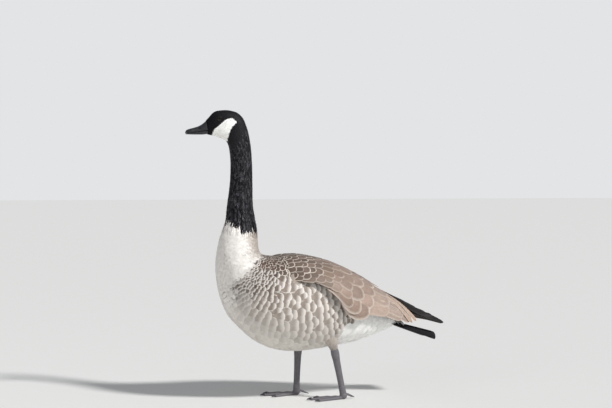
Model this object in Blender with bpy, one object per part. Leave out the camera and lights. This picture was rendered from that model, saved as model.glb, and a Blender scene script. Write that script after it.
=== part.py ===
"""A Canada goose at life size, standing in a slow walk with its neck erect, as a still museum model.

Metres, +Z up, and the floor is Z = 0. The bill points along -X, the bird's left side is -Y, and the
body is mirror-symmetric about Y = 0 apart from the legs: the right foot is forward and bears the
breast, the left one trails. Sizes below are in millimetres and are turned to metres by MM.
"""

import math

import bmesh
import bpy
import numpy as np
from mathutils import Matrix, Vector

MM = 0.001
GAP = 0.3  # between neighbouring pieces, which never touch

# The body's outline, from the bill's root to the tail's root. Each station is one cross-section:
# its highest or rearmost point (x, z), its lowest or foremost point (x, z), its half width, where
# between the two it is widest, and how boxy it is (1 is an ellipse, less is boxier).
STATIONS = {
    "bill_root": (-229, 663, -227, 631, 13.5, 0.55, 0.80),
    "brow": (-221, 672, -217, 628.5, 16.5, 0.52, 0.80),
    "forehead": (-209.5, 684, -205, 626, 20, 0.50, 0.80),
    "crown": (-190, 688.5, -193, 621.5, 22.5, 0.48, 0.82),
    "cheek": (-171.5, 688, -183, 617.5, 23.5, 0.48, 0.85),
    "nape": (-154, 683, -178, 611.5, 24, 0.48, 0.88),
    "nape_low": (-140.4, 671, -175, 604, 24, 0.48, 0.92),
    "throat": (-131.7, 652, -173, 595, 23.5, 0.48, 0.95),
    "neck_top": (-122, 612, -170.5, 573, 23.5, 0.48, 1.0),
    "neck_high": (-118, 565, -170, 545, 24.5, 0.48, 1.0),
    "neck_mid": (-117, 512, -172, 509, 25.5, 0.48, 1.0),
    "neck_low": (-115.5, 458, -178.5, 460, 28, 0.48, 1.0),
    "sock": (-107, 409, -183, 423, 34, 0.48, 1.0),
    "neck_foot": (-104.5, 380, -196, 386, 45, 0.50, 1.0),
    "collar": (-103, 360, -202, 355, 58, 0.52, 0.96),
    "breast_top": (-98, 349.5, -204.5, 322, 71, 0.54, 0.92),
    "breast": (-86, 345, -202, 287, 81, 0.54, 0.90),
    "breast_low": (-68, 343, -193, 243, 89, 0.52, 0.88),
    "keel_front": (-45, 342, -176, 203, 94, 0.50, 0.88),
    "keel": (-18, 341.5, -146, 169, 97, 0.50, 0.88),
    "belly_front": (12, 338, -108, 138, 98, 0.50, 0.88),
    "belly": (42, 331, -66, 120, 98, 0.50, 0.88),
    "belly_rear": (72, 320, -18, 113.5, 95, 0.50, 0.88),
    "loin": (102, 305, 30, 117, 90, 0.50, 0.88),
    "vent_front": (130, 286, 80, 124, 81, 0.50, 0.90),
    "vent": (158, 263, 128, 131, 68, 0.50, 0.92),
    "undertail_front": (184, 237, 170, 144, 52, 0.50, 0.94),
    "undertail": (207, 218, 205, 156, 36, 0.50, 0.96),
    "tail_root": (226, 203, 230, 166, 23, 0.50, 1.0),
    "rump_end": (238, 193, 243, 174, 12, 0.50, 1.0),
}
HEAD_SPAN = ("bill_root", "throat")
NECK_SPAN = ("throat", "sock")
TORSO_SPAN = ("sock", "rump_end")

# The folded wings and mantle, as one outer form over the body: at each x the height of its ridge,
# its half width, the height where it is widest, and the wing's upper and lower edge in degrees
# round the section from the ridge.
WING_STATIONS = {
    -76: (345, 66, 270, 33, 46),
    -58: (345.5, 84, 262, 22, 62),
    -20: (347.5, 101, 255, 14, 66),
    30: (340, 107, 250, 9, 68),
    80: (325, 106, 240, 7, 84),
    107: (313, 102, 228, 6, 101),
    150: (291, 91, 212, 6, 92),
    190: (266, 74, 204, 7, 88),
    226: (247, 57, 196, 8, 91),
    260: (231, 42, 187, 10, 100),
    300: (211, 28, 180, 14, 108),
    335: (199, 17, 177, 20, 108),
    364: (187, 9, 177, 28, 96),
}
WING_FRONT, WING_CORE_END = -76, 176  # the arm and hand inside the feathers
CORE_DEPTH = 3.6  # how far the core lies inside the feathers' outer form
VANE_THICKNESS = 0.8
VANE_TIP_THICKNESS = 0.55
VANE_RIDGE = 0.5  # how far the shaft stands up along the middle of a vane
# Tiers of vanes from the shoulder to the rear: x of the tips, x of the roots, how many, their share
# of the wing's height from its upper edge to its lower one, and their depth at root and tip.
WING_TIERS = (
    (-20, -68, 4, 0.0, 0.92, 5.2, 0.6),
    (16, -46, 4, 0.0, 0.98, 5.2, 0.3),
    (52, -14, 4, 0.0, 1.0, 5.4, 0.0),
    (90, 18, 5, 0.0, 1.0, 5.6, 0.0),
    (130, 50, 5, 0.0, 1.0, 6.2, 0.0),
    (174, 86, 5, 0.0, 1.0, 7.4, 0.2),
    (220, 120, 4, 0.0, 1.0, 9.0, 0.6),
    (258, 144, 4, 0.02, 1.0, 10.8, 1.6),
    (292, 150, 3, 0.10, 1.0, 13.4, 3.2),
)
TIER_SWEEP = 9.0  # how much further back the lowest vane of a tier reaches than the highest

# The folded primaries, a narrow stack close to the mid-plane: centre line (x, y, z) and the tilt of
# the vanes from level, in degrees. The longest lies lowest.
PRIMARY_LINE = {
    140: (77, 230, 66),
    165: (64, 225, 62),
    200: (48, 218, 56),
    250: (30, 207, 50),
    300: (18, 197, 45),
    335: (12.5, 189, 42),
    366: (9.5, 179, 40),
}
PRIMARY_TIPS = (308, 325, 340, 354, 364)
PRIMARY_ROOT = 152
PRIMARY_WIDTH = 10.0
PRIMARY_STEP = 1.35  # from one vane down to the next

VANE_SHARES = (0, 0.45, 0.86, 1)  # where a vane has its cross-sections, and how wide it is there
VANE_TAPER = (0.75, 1, 0.9, 0.36)

# Bill: at each x, the height of the culmen, the mouth line and the underside, and the half width.
BILL_ROOT, BILL_LEAN = -229.35, 0.06  # its root face follows the slope of the face behind it
BILL_STATIONS = {
    BILL_ROOT: (661.5, 640.5, 631.2, 13.2),
    -234: (657.8, 639.6, 630.4, 12.7),
    -239: (654.0, 638.7, 630.0, 12.0),
    -247: (649.6, 637.2, 629.9, 11.1),
    -257: (646.2, 635.8, 629.9, 10.6),
    -266: (643.8, 634.6, 630.0, 10.2),
    -272.5: (641.4, 633.8, 630.2, 8.4),
    -276.3: (638.6, 633.0, 630.4, 5.2),
    -277.8: (636.2, 632.7, 630.6, 2.4),
}
NOSTRIL = (-246, 644.4)  # x, z
NOSTRIL_SIZE = (4.4, 3.0, 1.7)

EYE_SEAT = (-200.5, 667.5)  # x, z on the side of the head
EYE_RADIUS = 5.8
EYE_PROUD = 2.0  # how far the eyeball stands out of the cheek
LID_RADIUS, LID_THICKNESS = 5.7, 1.25

# Legs: for each, the side, the ankle and the joint of the toes as (x, y, z).
LEGS = {
    "left": {"ankle": (73, -49, 114), "toes": (95, -46, 10), "thigh": (53, -52, 178)},
    "right": {"ankle": (8, 49, 114), "toes": (3, 46, 10), "thigh": (4, 52, 168)},
}
TOES = {"inner": (62, 21, 4.1), "middle": (80, 0, 4.5), "outer": (72, -20, 4.2)}  # length, splay, radius
HIND_TOE = (17, 3.0)  # length, radius
CLAW_LENGTH = 10.0
TOE_SINK = 0.8  # how much of a round toe is flattened on the floor
WEB_THICKNESS = 1.4
WEB_HEIGHT = 2.6

# Tail: root, tip of the middle feathers, and how far the outermost feathers stand out to the side.
TAIL_ROOT, TAIL_TIP = (204, 186), (341, 149)  # x, z
TAIL_ROOT_HALF, TAIL_TIP_HALF = 14, 39
TAIL_CORE_END = 0.36  # of the way from root to tip
TAIL_PAIRS = 6
TAIL_STEP = 2.2  # from one feather of a side down to the next
TAIL_ROUNDING = 11.0  # how much shorter the outermost feathers are
RECTRIX_WIDTH = 9.0

COLOURS = {
    "black_plumage": ((0.012, 0.012, 0.015), 0.75),
    "white_plumage": ((0.82, 0.80, 0.76), 0.85),
    "breast_plumage": ((0.55, 0.49, 0.42), 0.85),
    "wing_plumage": ((0.22, 0.155, 0.115), 0.70),
    "tail_plumage": ((0.015, 0.014, 0.015), 0.60),
    "bill_horn": ((0.014, 0.014, 0.017), 0.35),
    "eye_gloss": ((0.02, 0.012, 0.008), 0.08),
    "leg_skin": ((0.045, 0.043, 0.048), 0.55),
}


def clear_scene():
    """Empties the scene, whatever it was opened with."""
    for obj in list(bpy.data.objects):
        bpy.data.objects.remove(obj)


def material(name):
    """A plain surface of the part's own colour."""
    made = bpy.data.materials.get(name)
    if made is None:
        colour, roughness = COLOURS[name]
        made = bpy.data.materials.new(name)
        made.use_nodes = True
        shader = made.node_tree.nodes["Principled BSDF"]
        shader.inputs["Base Color"].default_value = (*colour, 1)
        shader.inputs["Roughness"].default_value = roughness
        shader.inputs["Metallic"].default_value = 0
    return made


def new_object(name, mesh, surface):
    """Links a mesh as a named object of the goose."""
    obj = bpy.data.objects.new(name, mesh)
    bpy.data.collections["canada_goose"].objects.link(obj)
    if surface:
        obj.data.materials.append(material(surface))
    return obj


def mesh_of(name, points, faces):
    """A closed mesh from points in millimetres, its faces turned outwards."""
    mesh = bpy.data.meshes.new(name)
    shape = bmesh.new()
    corners = [shape.verts.new(Vector(p) * MM) for p in points]
    for face in faces:
        shape.faces.new([corners[i] for i in face])
    bmesh.ops.recalc_face_normals(shape, faces=shape.faces)
    shape.to_mesh(mesh)
    shape.free()
    return mesh


def loft(name, rings, surface):
    """A closed body through rings of equal point count, with a flat face at each end."""
    count = len(rings[0])
    points = [p for ring in rings for p in ring]
    faces = []
    for row in range(len(rings) - 1):
        for i in range(count):
            j = (i + 1) % count
            faces.append((row * count + i, row * count + j, (row + 1) * count + j, (row + 1) * count + i))
    faces.append(tuple(range(count)))
    faces.append(tuple(range((len(rings) - 1) * count, len(rings) * count)))
    return new_object(name, mesh_of(name, points, faces), surface)


def thick_sheet(name, upper, lower, surface):
    """A closed thin body between two grids of points, split into triangles alike on both faces."""
    rows, columns = len(upper), len(upper[0])
    below = rows * columns
    points = [p for row in upper for p in row] + [p for row in lower for p in row]
    faces = []
    for r in range(rows - 1):
        for c in range(columns - 1):
            a, b = r * columns + c, r * columns + c + 1
            d, e = a + columns, b + columns
            faces += [(a, b, e), (a, e, d)]
            faces += [(a + below, e + below, b + below), (a + below, d + below, e + below)]
    top = [c for c in range(columns)]
    right = [r * columns + columns - 1 for r in range(rows)]
    bottom = [(rows - 1) * columns + c for c in reversed(range(columns))]
    left = [r * columns for r in reversed(range(rows))]
    rim = top[:-1] + right[:-1] + bottom[:-1] + left[:-1]
    for i, a in enumerate(rim):
        b = rim[(i + 1) % len(rim)]
        faces += [(a, b + below, b), (a, a + below, b + below)]
    return new_object(name, mesh_of(name, points, faces), surface)


def smooth(knots, values, at):
    """The value at a place on a smooth curve through the knots."""
    knots, values = np.asarray(knots, float), np.asarray(values, float)
    slopes = np.gradient(values, knots, axis=0)
    i = int(np.clip(np.searchsorted(knots, at, side="right") - 1, 0, len(knots) - 2))
    span = knots[i + 1] - knots[i]
    u = (at - knots[i]) / span
    keep, turn = (1 + 2 * u) * (1 - u) ** 2, u * (1 - u) ** 2
    return (
        keep * values[i]
        + turn * span * slopes[i]
        + (1 - keep) * values[i + 1]
        - u * u * (1 - u) * span * slopes[i + 1]
    )


STATION_NAMES = list(STATIONS)
STATION_VALUES = np.array(list(STATIONS.values()), float)


def station_knots():
    """Where each station lies along the body, by the distance between the sections' middles."""
    middles = (STATION_VALUES[:, 0:2] + STATION_VALUES[:, 2:4]) / 2
    steps = np.linalg.norm(np.diff(middles, axis=0), axis=1)
    return np.concatenate([[0], np.cumsum(steps)])


KNOTS = station_knots()


def body_ring(at, count, grow=0.0, shift=0.0):
    """One cross-section of the body, swollen by grow and moved along the body by shift."""
    upper_x, upper_z, lower_x, lower_z, half_width, widest, boxy = smooth(KNOTS, STATION_VALUES, at)
    upper, lower = np.array([upper_x, 0, upper_z]), np.array([lower_x, 0, lower_z])
    across = (lower - upper) / np.linalg.norm(lower - upper)
    along = np.array([-across[2], 0, across[0]])
    upper, lower = upper - across * grow + along * shift, lower + across * grow + along * shift
    ring = []
    for i in range(count):
        turn = 2 * math.pi * i / count
        c, s = math.cos(turn), math.sin(turn)
        share = widest * (1 - c) if c >= 0 else widest - (1 - widest) * c
        side = math.copysign(abs(s) ** boxy, s) * (half_width + grow)
        ring.append(upper + (lower - upper) * share + np.array([0, -side, 0]))
    return ring


def body_loft(name, span, rows, count, surface, grow=0.0, ends=GAP / 2):
    """The body between two stations. Each end stands back from the station by half the gap."""
    first, last = (KNOTS[STATION_NAMES.index(s)] for s in span)
    places = np.linspace(first, last, rows)
    rings = [body_ring(at, count, grow) for at in places]
    rings[0] = body_ring(first, count, grow, ends)
    rings[-1] = body_ring(last, count, grow, -ends)
    return loft(name, rings, surface)


def side_point(x, z):
    """The left side of the body at (x, z), and its outward direction."""
    best = None
    for at in np.linspace(0, KNOTS[-1], 700):
        ring = np.array(body_ring(at, 72))[2:35]
        reach = np.hypot(ring[:, 0] - x, ring[:, 2] - z)
        i = int(reach.argmin())
        if best is None or reach[i] < best[0]:
            best = (reach[i], at, i, ring)
    _, at, i, ring = best
    forward = np.array(body_ring(at + 0.5, 72))[2:35][i] - ring[i]
    around = ring[i + 1] - ring[i - 1]
    out = np.cross(forward, around)
    out /= np.linalg.norm(out)
    return ring[i], out if out[1] < 0 else -out


def wing_form(x, degrees, side, inward=0.0):
    """A point of the folded wings' outer form. side is -1 for the left wing and 1 for the right."""
    knots = list(WING_STATIONS)
    ridge, half_width, middle, _, _ = smooth(knots, list(WING_STATIONS.values()), x)
    turn = math.radians(degrees)
    rise = ridge - middle - inward
    reach = half_width - inward
    return np.array([x, side * reach * math.sin(turn), middle + rise * math.cos(turn)])


def wing_edges(x):
    """The wing's upper and lower edge at x, in degrees round the section."""
    return smooth(list(WING_STATIONS), list(WING_STATIONS.values()), x)[3:5]


def fuse(obj, pieces):
    """Joins closed pieces into one body and removes them."""
    tray = bpy.data.collections.new("pieces_of_" + obj.name)
    bpy.context.scene.collection.children.link(tray)
    for piece in pieces:
        for holder in list(piece.users_collection):
            holder.objects.unlink(piece)
        tray.objects.link(piece)
    join = obj.modifiers.new("join", "BOOLEAN")
    join.operation, join.solver = "UNION", "MANIFOLD"
    join.operand_type, join.collection = "COLLECTION", tray
    apply_modifiers(obj)
    for piece in list(tray.objects):
        bpy.data.objects.remove(piece)
    bpy.data.collections.remove(tray)
    return obj


def cut(obj, *cutters):
    """Cuts closed bodies out of an object and removes them."""
    for cutter in cutters:
        cutter.display_type, cutter.hide_render = "WIRE", True
        trim = obj.modifiers.new("cut", "BOOLEAN")
        trim.operation, trim.solver, trim.object = "DIFFERENCE", "MANIFOLD", cutter
        apply_modifiers(obj)
        bpy.data.objects.remove(cutter)
    return keep_largest(obj)


def apply_modifiers(obj):
    """Replaces an object's mesh by what its modifiers make of it."""
    graph = bpy.context.evaluated_depsgraph_get()
    made = bpy.data.meshes.new_from_object(obj.evaluated_get(graph))
    obj.modifiers.clear()
    obj.data = made


def keep_largest(obj):
    """Drops every loose scrap, leaving the largest closed surface."""
    shape = bmesh.new()
    shape.from_mesh(obj.data)
    shape.verts.ensure_lookup_table()
    seen, groups = set(), []
    for start in shape.verts:
        if start.index in seen:
            continue
        group, queue = [], [start]
        seen.add(start.index)
        while queue:
            vert = queue.pop()
            group.append(vert)
            for edge in vert.link_edges:
                other = edge.other_vert(vert)
                if other.index not in seen:
                    seen.add(other.index)
                    queue.append(other)
        groups.append(group)
    groups.sort(key=len, reverse=True)
    loose = [vert for group in groups[1:] for vert in group]
    bmesh.ops.delete(shape, geom=loose, context="VERTS")
    shape.to_mesh(obj.data)
    shape.free()
    return obj


def shade(obj, degrees=35):
    """Smooth shading with creases left sharp."""
    obj.data.shade_smooth()
    obj.data.set_sharp_from_angle(angle=math.radians(degrees))


def ball(name, centre, size, segments=16, surface=None):
    """An ellipsoid with the given half sizes."""
    mesh = bpy.data.meshes.new(name)
    shape = bmesh.new()
    place = Matrix.Translation(Vector(centre) * MM) @ Matrix.Diagonal((*(s * MM for s in size), 1))
    bmesh.ops.create_uvsphere(shape, u_segments=segments, v_segments=segments * 5 // 8, radius=1, matrix=place)
    shape.to_mesh(mesh)
    shape.free()
    return new_object(name, mesh, surface)


def block(name, low, high):
    """A plain box between two corners."""
    mesh = bpy.data.meshes.new(name)
    shape = bmesh.new()
    low, high = Vector(low) * MM, Vector(high) * MM
    place = Matrix.Translation((low + high) / 2) @ Matrix.Diagonal((*(high - low), 1))
    bmesh.ops.create_cube(shape, size=1, matrix=place)
    shape.to_mesh(mesh)
    shape.free()
    return new_object(name, mesh, None)


def make_head():
    """The head with its cheek, the eye's seat and the ring of lid round each eye."""
    head = body_loft("head", HEAD_SPAN, 13, 26, "black_plumage")
    lids, seats = [], []
    for side in (-1, 1):
        seat, out = side_point(*EYE_SEAT)
        seat, out = seat * (1, -side, 1), Vector(out * (1, -side, 1))
        bpy.ops.mesh.primitive_torus_add(
            major_segments=16,
            minor_segments=5,
            major_radius=LID_RADIUS * MM,
            minor_radius=LID_THICKNESS * MM,
            location=Vector(seat) * MM,
            rotation=out.to_track_quat("Z", "Y").to_euler(),
        )
        lid = bpy.context.object
        lid.data.transform(lid.matrix_world)
        lid.matrix_world = Matrix.Identity(4)
        lids.append(lid)
        centre = Vector(seat) - out * (EYE_RADIUS - EYE_PROUD)
        seats.append(ball("eye_seat", centre, (EYE_RADIUS + GAP,) * 3, 14))
        eye = ball("eye_left" if side < 0 else "eye_right", centre, (EYE_RADIUS,) * 3, 14, "eye_gloss")
        shade(eye)
    fuse(head, lids)
    cut(head, *seats)
    shade(head)


def bill_ring(x, upper_part, count=9):
    """One cross-section of a mandible: arched above the mouth line, or hung below it."""
    knots = sorted(BILL_STATIONS)
    culmen, mouth, underside, half_width = smooth(knots, [BILL_STATIONS[k] for k in knots], x)
    ring = []
    for i in range(count):
        turn = math.pi * i / (count - 1)
        c, s = math.cos(turn), math.sin(turn)
        if upper_part:
            height = mouth + GAP / 2 + (culmen - mouth - GAP / 2) * s**0.75
            width = half_width
        else:
            height = mouth - GAP / 2 - (mouth - underside - GAP / 2) * s**0.6
            width = half_width * 0.86
        lean = BILL_LEAN * (663 - height) * max(0, 1 - (BILL_ROOT - x) / 20)
        ring.append((x + lean, -width * c, height))
    return ring


def make_bill():
    """The upper and lower mandible, with the mouth line open between them and a nostril each side."""
    root, tip = max(BILL_STATIONS), min(BILL_STATIONS)
    places = [root + (tip - root) * (1 - (1 - t) ** 1.7) for t in np.linspace(0, 1, 13)]
    upper = loft("bill_upper", [bill_ring(x, True, 13) for x in places], "bill_horn")
    nostrils = []
    for side in (-1, 1):
        x, z = NOSTRIL
        nostrils.append(ball("nostril", (x, side * 10.2, z), NOSTRIL_SIZE, 10))
    cut(upper, *nostrils)
    shade(upper, 50)
    lower = loft("bill_lower", [bill_ring(x, False, 11) for x in places[:-1]], "bill_horn")
    shade(lower, 50)


def make_neck():
    """The slender black neck, from the throat to the edge of the pale breast."""
    shade(body_loft("neck", NECK_SPAN, 12, 22, "black_plumage"))


def make_torso():
    """Breast, belly, back and rump in one rounded body."""
    shade(body_loft("torso", TORSO_SPAN, 24, 30, "breast_plumage"))


def torso_cutter():
    """The torso with the gap added all round, which leaves a neighbour lying face to face with it."""
    return body_loft("torso_cutter", TORSO_SPAN, 24, 30, None, grow=GAP * 2.5, ends=-GAP)


def vane(line, outs, halves, thickness=VANE_THICKNESS, ridge=VANE_RIDGE, droop=0.0):
    """A tapering feather vane along a line, with a raised shaft. outs are its upward directions."""
    upper, lower = [], []
    last = len(line) - 1
    for i, (centre, out, half) in enumerate(zip(line, outs, halves)):
        way = line[min(i + 1, last)] - line[max(i - 1, 0)]
        beside = np.cross(way, out)
        beside /= np.linalg.norm(beside)
        half = half * VANE_TAPER[i]
        deep = thickness + (VANE_TIP_THICKNESS - thickness) * i / last
        fall = out * droop * half**2
        row = [centre - beside * half - fall, centre + out * ridge, centre + beside * half - fall]
        upper.append(row)
        lower.append([row[0] - out * deep, centre - out * deep, row[2] - out * deep])
    return thick_sheet("vane", upper, lower, None)


def form_direction(x, degrees, side):
    """The outward direction of the folded wing's form."""
    along = wing_form(x + 1, degrees, side) - wing_form(x - 1, degrees, side)
    around = wing_form(x, degrees + 1, side) - wing_form(x, degrees - 1, side)
    out = np.cross(along, around)
    out /= np.linalg.norm(out)
    return out if out[1] * side > 0 or (abs(out[1]) < 0.2 and out[2] > 0) else -out


def wing_arc(x):
    """The length of the wing's section at x, from its upper edge to its lower one."""
    ridge, half_width, middle, first, last = smooth(list(WING_STATIONS), list(WING_STATIONS.values()), x)
    return math.radians(last - first) * (half_width + ridge - middle) / 2


def wing_vane(side, root, tip, part, root_depth, tip_depth):
    """A vane that follows the folded wing's form from root to tip, each given as (x, share).

    part is the share of the section's length that it covers.
    """
    line, outs, halves = [], [], []
    for share in VANE_SHARES:
        x = root[0] + (tip[0] - root[0]) * share
        place = root[1] + (tip[1] - root[1]) * share
        first, last = wing_edges(x)
        degrees = first + (last - first) * place
        out = form_direction(x, degrees, side)
        line.append(wing_form(x, degrees, side) - out * (root_depth + (tip_depth - root_depth) * share))
        outs.append(out)
        halves.append(min(max(wing_arc(x) * part / 2 - 0.45, 5.5), 16))
    radius = max(wing_arc(tip[0]) / 1.5, 30)
    return vane(line, outs, halves, droop=0.5 / radius)


def tier_vanes(side, rng):
    """The tiers of coverts, scapulars, secondaries and tertials, each shifted by half a vane."""
    vanes = []
    for number, (tip_x, root_x, count, high, low, root_depth, tip_depth) in enumerate(WING_TIERS):
        places = [(k + 0.5) / count for k in range(count)]
        if number % 2:
            places = [0.2 / count] + [(k + 1) / count for k in range(count - 1)] + [1 - 0.2 / count]
        for place in places:
            place = high + (low - high) * place
            sweep = TIER_SWEEP * (place - 0.5) * (1 if number < 6 else -1.5)
            tip = (tip_x + sweep + rng.uniform(-1.5, 1.5), place)
            part = (low - high) / count
            vanes.append(wing_vane(side, (root_x, place), tip, part, root_depth, tip_depth))
    return vanes


def primary_vanes(side):
    """The folded primaries, each a little longer than the one above it."""
    vanes = []
    knots, values = list(PRIMARY_LINE), np.array(list(PRIMARY_LINE.values()), float)
    for k, tip_x in enumerate(PRIMARY_TIPS):
        line, outs = [], []
        for share in VANE_SHARES:
            x = PRIMARY_ROOT + (tip_x - PRIMARY_ROOT) * share
            y, z, tilt = smooth(knots, values, x)
            turn = math.radians(tilt)
            out = np.array([0.12, side * math.sin(turn), math.cos(turn)])
            out /= np.linalg.norm(out)
            outwards = np.array([0, side * math.cos(turn), -math.sin(turn)])
            line.append(np.array([x, side * y, z]) - out * PRIMARY_STEP * k + outwards * 1.1 * (k - 2))
            outs.append(out)
        vanes.append(vane(line, outs, [PRIMARY_WIDTH - 0.35 * k] * len(line)))
    return vanes


def wing_core(side, name):
    """The arm and hand of the folded wing, that the feathers grow from."""
    upper, lower = [], []
    for x in np.linspace(WING_FRONT, WING_CORE_END, 10):
        first, last = wing_edges(x)
        share = max(0, (x - 60) / (WING_CORE_END - 60))
        angles = np.linspace(first + 3, last - 3, 6)
        upper.append([wing_form(x, a, side, CORE_DEPTH + 3.2 * share) for a in angles])
        lower.append([wing_form(x, a, side, 15 + 13 * share) for a in angles])
    return thick_sheet(name, upper, lower, "wing_plumage")


def make_wing(name, side):
    """One folded wing: tiers of vanes over a core, and the primaries behind."""
    wing = wing_core(side, name)
    rng = np.random.default_rng(11)
    fuse(wing, tier_vanes(side, rng) + primary_vanes(side))
    cut(wing, torso_cutter())
    shade(wing)


def tail_point(share, across):
    """A point on the tail's upper face: share runs from root to tip, across from -1 to 1."""
    (root_x, root_z), (tip_x, tip_z) = TAIL_ROOT, TAIL_TIP
    half = TAIL_ROOT_HALF + (TAIL_TIP_HALF - TAIL_ROOT_HALF) * share
    drop = TAIL_STEP * TAIL_PAIRS * abs(across) * (0.25 + 0.75 * share)
    shorter = TAIL_ROUNDING * across**2 * share
    return np.array(
        [root_x + (tip_x - root_x) * share - shorter, half * across, root_z + (tip_z - root_z) * share - drop]
    )


def make_tail():
    """The short fan of the tail: feathers in pairs, the middle ones on top, rooted in a low core."""
    shares, places = np.linspace(0, TAIL_CORE_END, 4), np.linspace(-1.12, 1.12, 9)
    upper = [[tail_point(s, a) + (0, 0, 1.5 - 1.5 * a * a) for a in places] for s in shares]
    lower = [[tail_point(s, a) - (0, 0, 9.5 - 9 * s - 4 * a * a) for a in places] for s in shares]
    tail = thick_sheet("tail", upper, lower, "tail_plumage")
    feathers = []
    for pair in range(TAIL_PAIRS):
        for side in (-1, 1):
            across = side * (pair + 0.5) / TAIL_PAIRS
            line = [tail_point(0.1 + 0.9 * s, across) for s in VANE_SHARES]
            line = [p - (0, 0, TAIL_STEP / 2 if side > 0 else 0) for p in line]
            out = np.array([math.sin(math.radians(15)), 0.1 * across, 1])
            halves = [RECTRIX_WIDTH] * len(line)
            feathers.append(vane(line, [out / np.linalg.norm(out)] * len(line), halves))
    fuse(tail, feathers)
    cut(tail, torso_cutter())
    shade(tail)


def limb(name, stops, count, surface):
    """A limb of oval sections. Each stop is a centre and the half sizes along x and y, or along z and y."""
    rings = []
    for i, (centre, fore, wide) in enumerate(stops):
        here = np.array(centre, float)
        before = np.array(stops[max(i - 1, 0)][0], float)
        after = np.array(stops[min(i + 1, len(stops) - 1)][0], float)
        way = (after - before) / np.linalg.norm(after - before)
        level = np.cross(way, (0, 1, 0))
        level /= np.linalg.norm(level)
        beside = np.cross(level, way)
        ring = []
        for k in range(count):
            turn = 2 * math.pi * k / count
            ring.append(here + level * fore * math.cos(turn) + beside * wide * math.sin(turn))
        rings.append(ring)
    return loft(name, rings, surface)


def between(a, b, share):
    """A point part of the way from a to b."""
    return tuple(np.array(a, float) + (np.array(b, float) - np.array(a, float)) * share)


def make_leg(side_name, leg):
    """The feathered thigh and the bare shank of one leg."""
    hip, ankle, toes = leg["thigh"], leg["ankle"], leg["toes"]
    knuckle = between(toes, ankle, 0.045)
    above = between(ankle, hip, 0.12)
    thigh_stops = [
        (hip, 34, 22),
        (between(hip, ankle, 0.35), 28, 19),
        (between(hip, ankle, 0.65), 18, 14),
        (between(hip, ankle, 0.84), 12, 10),
        (above, 9.5, 8),
    ]
    thigh = limb("thigh_" + side_name, thigh_stops, 16, "breast_plumage")
    cut(thigh, torso_cutter())
    shade(thigh)
    start = between(above, ankle, 0.3 / np.linalg.norm(np.subtract(above, ankle)))
    shank_stops = [
        (start, 8.8, 6.8),
        (between(ankle, above, 0.25), 10.2, 7.6),
        (between(ankle, toes, 0.06), 10.4, 7.4),
        (between(ankle, toes, 0.2), 9.0, 6.0),
        (between(ankle, toes, 0.5), 8.0, 5.4),
        (between(ankle, toes, 0.8), 7.8, 5.6),
        (knuckle, 8.6, 7.2),
    ]
    shank = limb("shank_" + side_name, shank_stops, 12, "leg_skin")
    shade(shank)
    return knuckle


def toe_stops(root, length, heading, radius):
    """A toe from its root forward along the floor, with a swelling at each pad, and its tip."""
    stops = []
    for share, thick in ((0, 1.15), (0.12, 1.05), (0.3, 1.12), (0.45, 0.9), (0.62, 1.0), (0.8, 0.82), (1, 0.72)):
        r = radius * thick
        x = root[0] - math.cos(heading) * length * share
        y = root[1] + math.sin(heading) * length * share
        stops.append(((x, y, r - TOE_SINK), r, r * 1.05))
    return stops


def claw(tip, heading, size):
    """A short curved claw at a toe's end."""
    stops = []
    for share, thick, drop in ((-0.25, 1.0, 0.3), (0.15, 1.0, 0.3), (0.5, 0.72, 0), (0.8, 0.4, -0.6), (1, 0.14, -1.3)):
        x = tip[0] - math.cos(heading) * CLAW_LENGTH * share
        y = tip[1] + math.sin(heading) * CLAW_LENGTH * share
        stops.append(((x, y, size * 1.25 + drop), size * thick, size * 0.85 * thick))
    return limb("claw", stops, 7, None)


def web(root, first, second):
    """The skin between two toes, thin and hollowed at its free edge."""
    upper, lower = [], []
    for share in np.linspace(0.06, 0.93, 5):
        row_up, row_down = [], []
        for across in np.linspace(0, 1, 5):
            sag = 1 - 0.16 * math.sin(math.pi * across) * share
            length = (first[0] * (1 - across) + second[0] * across) * share * sag
            heading = math.radians(first[1] * (1 - across) + second[1] * across)
            x = root[0] - math.cos(heading) * length
            y = root[1] + math.sin(heading) * length
            z = WEB_HEIGHT + 2.2 * (1 - share)
            row_up.append((x, y, z))
            row_down.append((x, y, z - WEB_THICKNESS))
        upper.append(row_up)
        lower.append(row_down)
    return thick_sheet("web", upper, lower, None)


def make_foot(side_name, leg, knuckle):
    """The webbed foot: three long toes, a small raised hind toe, their claws and the webs."""
    root = leg["toes"]
    inwards = 1 if root[1] < 0 else -1
    foot = ball("foot_" + side_name, (root[0], root[1], 8.2), (9.6, 8.6, 9.0), 12, "leg_skin")
    pieces, fan = [], []
    for length, splay, radius in TOES.values():
        heading = math.radians(splay * inwards)
        stops = toe_stops(root, length, heading, radius)
        pieces.append(limb("toe", stops, 9, None))
        pieces.append(claw(stops[-1][0], heading, radius * 0.72))
        fan.append((length, splay * inwards))
    pieces.append(web(root, fan[0], fan[1]))
    pieces.append(web(root, fan[1], fan[2]))
    length, radius = HIND_TOE
    hind = [
        ((root[0] + 4, root[1] + 2 * inwards, 12.5), radius * 1.2, radius * 1.2),
        ((root[0] + 4 + length * 0.6, root[1] + 4 * inwards, 9.5), radius, radius),
        ((root[0] + 4 + length, root[1] + 5 * inwards, 6.2), radius * 0.8, radius * 0.8),
        ((root[0] + 6 + length * 1.25, root[1] + 5.5 * inwards, 3.6), radius * 0.3, radius * 0.3),
    ]
    pieces.append(limb("hind_toe", hind, 7, None))
    fuse(foot, pieces)
    floor = block("floor_cutter", (-400, -300, -60), (400, 300, 0))
    shank_end = limb(
        "shank_cutter",
        [(between(knuckle, leg["ankle"], -0.0028), 40, 40), (between(knuckle, leg["ankle"], 0.3), 40, 40)],
        12,
        None,
    )
    cut(foot, floor, shank_end)
    shade(foot)


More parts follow.
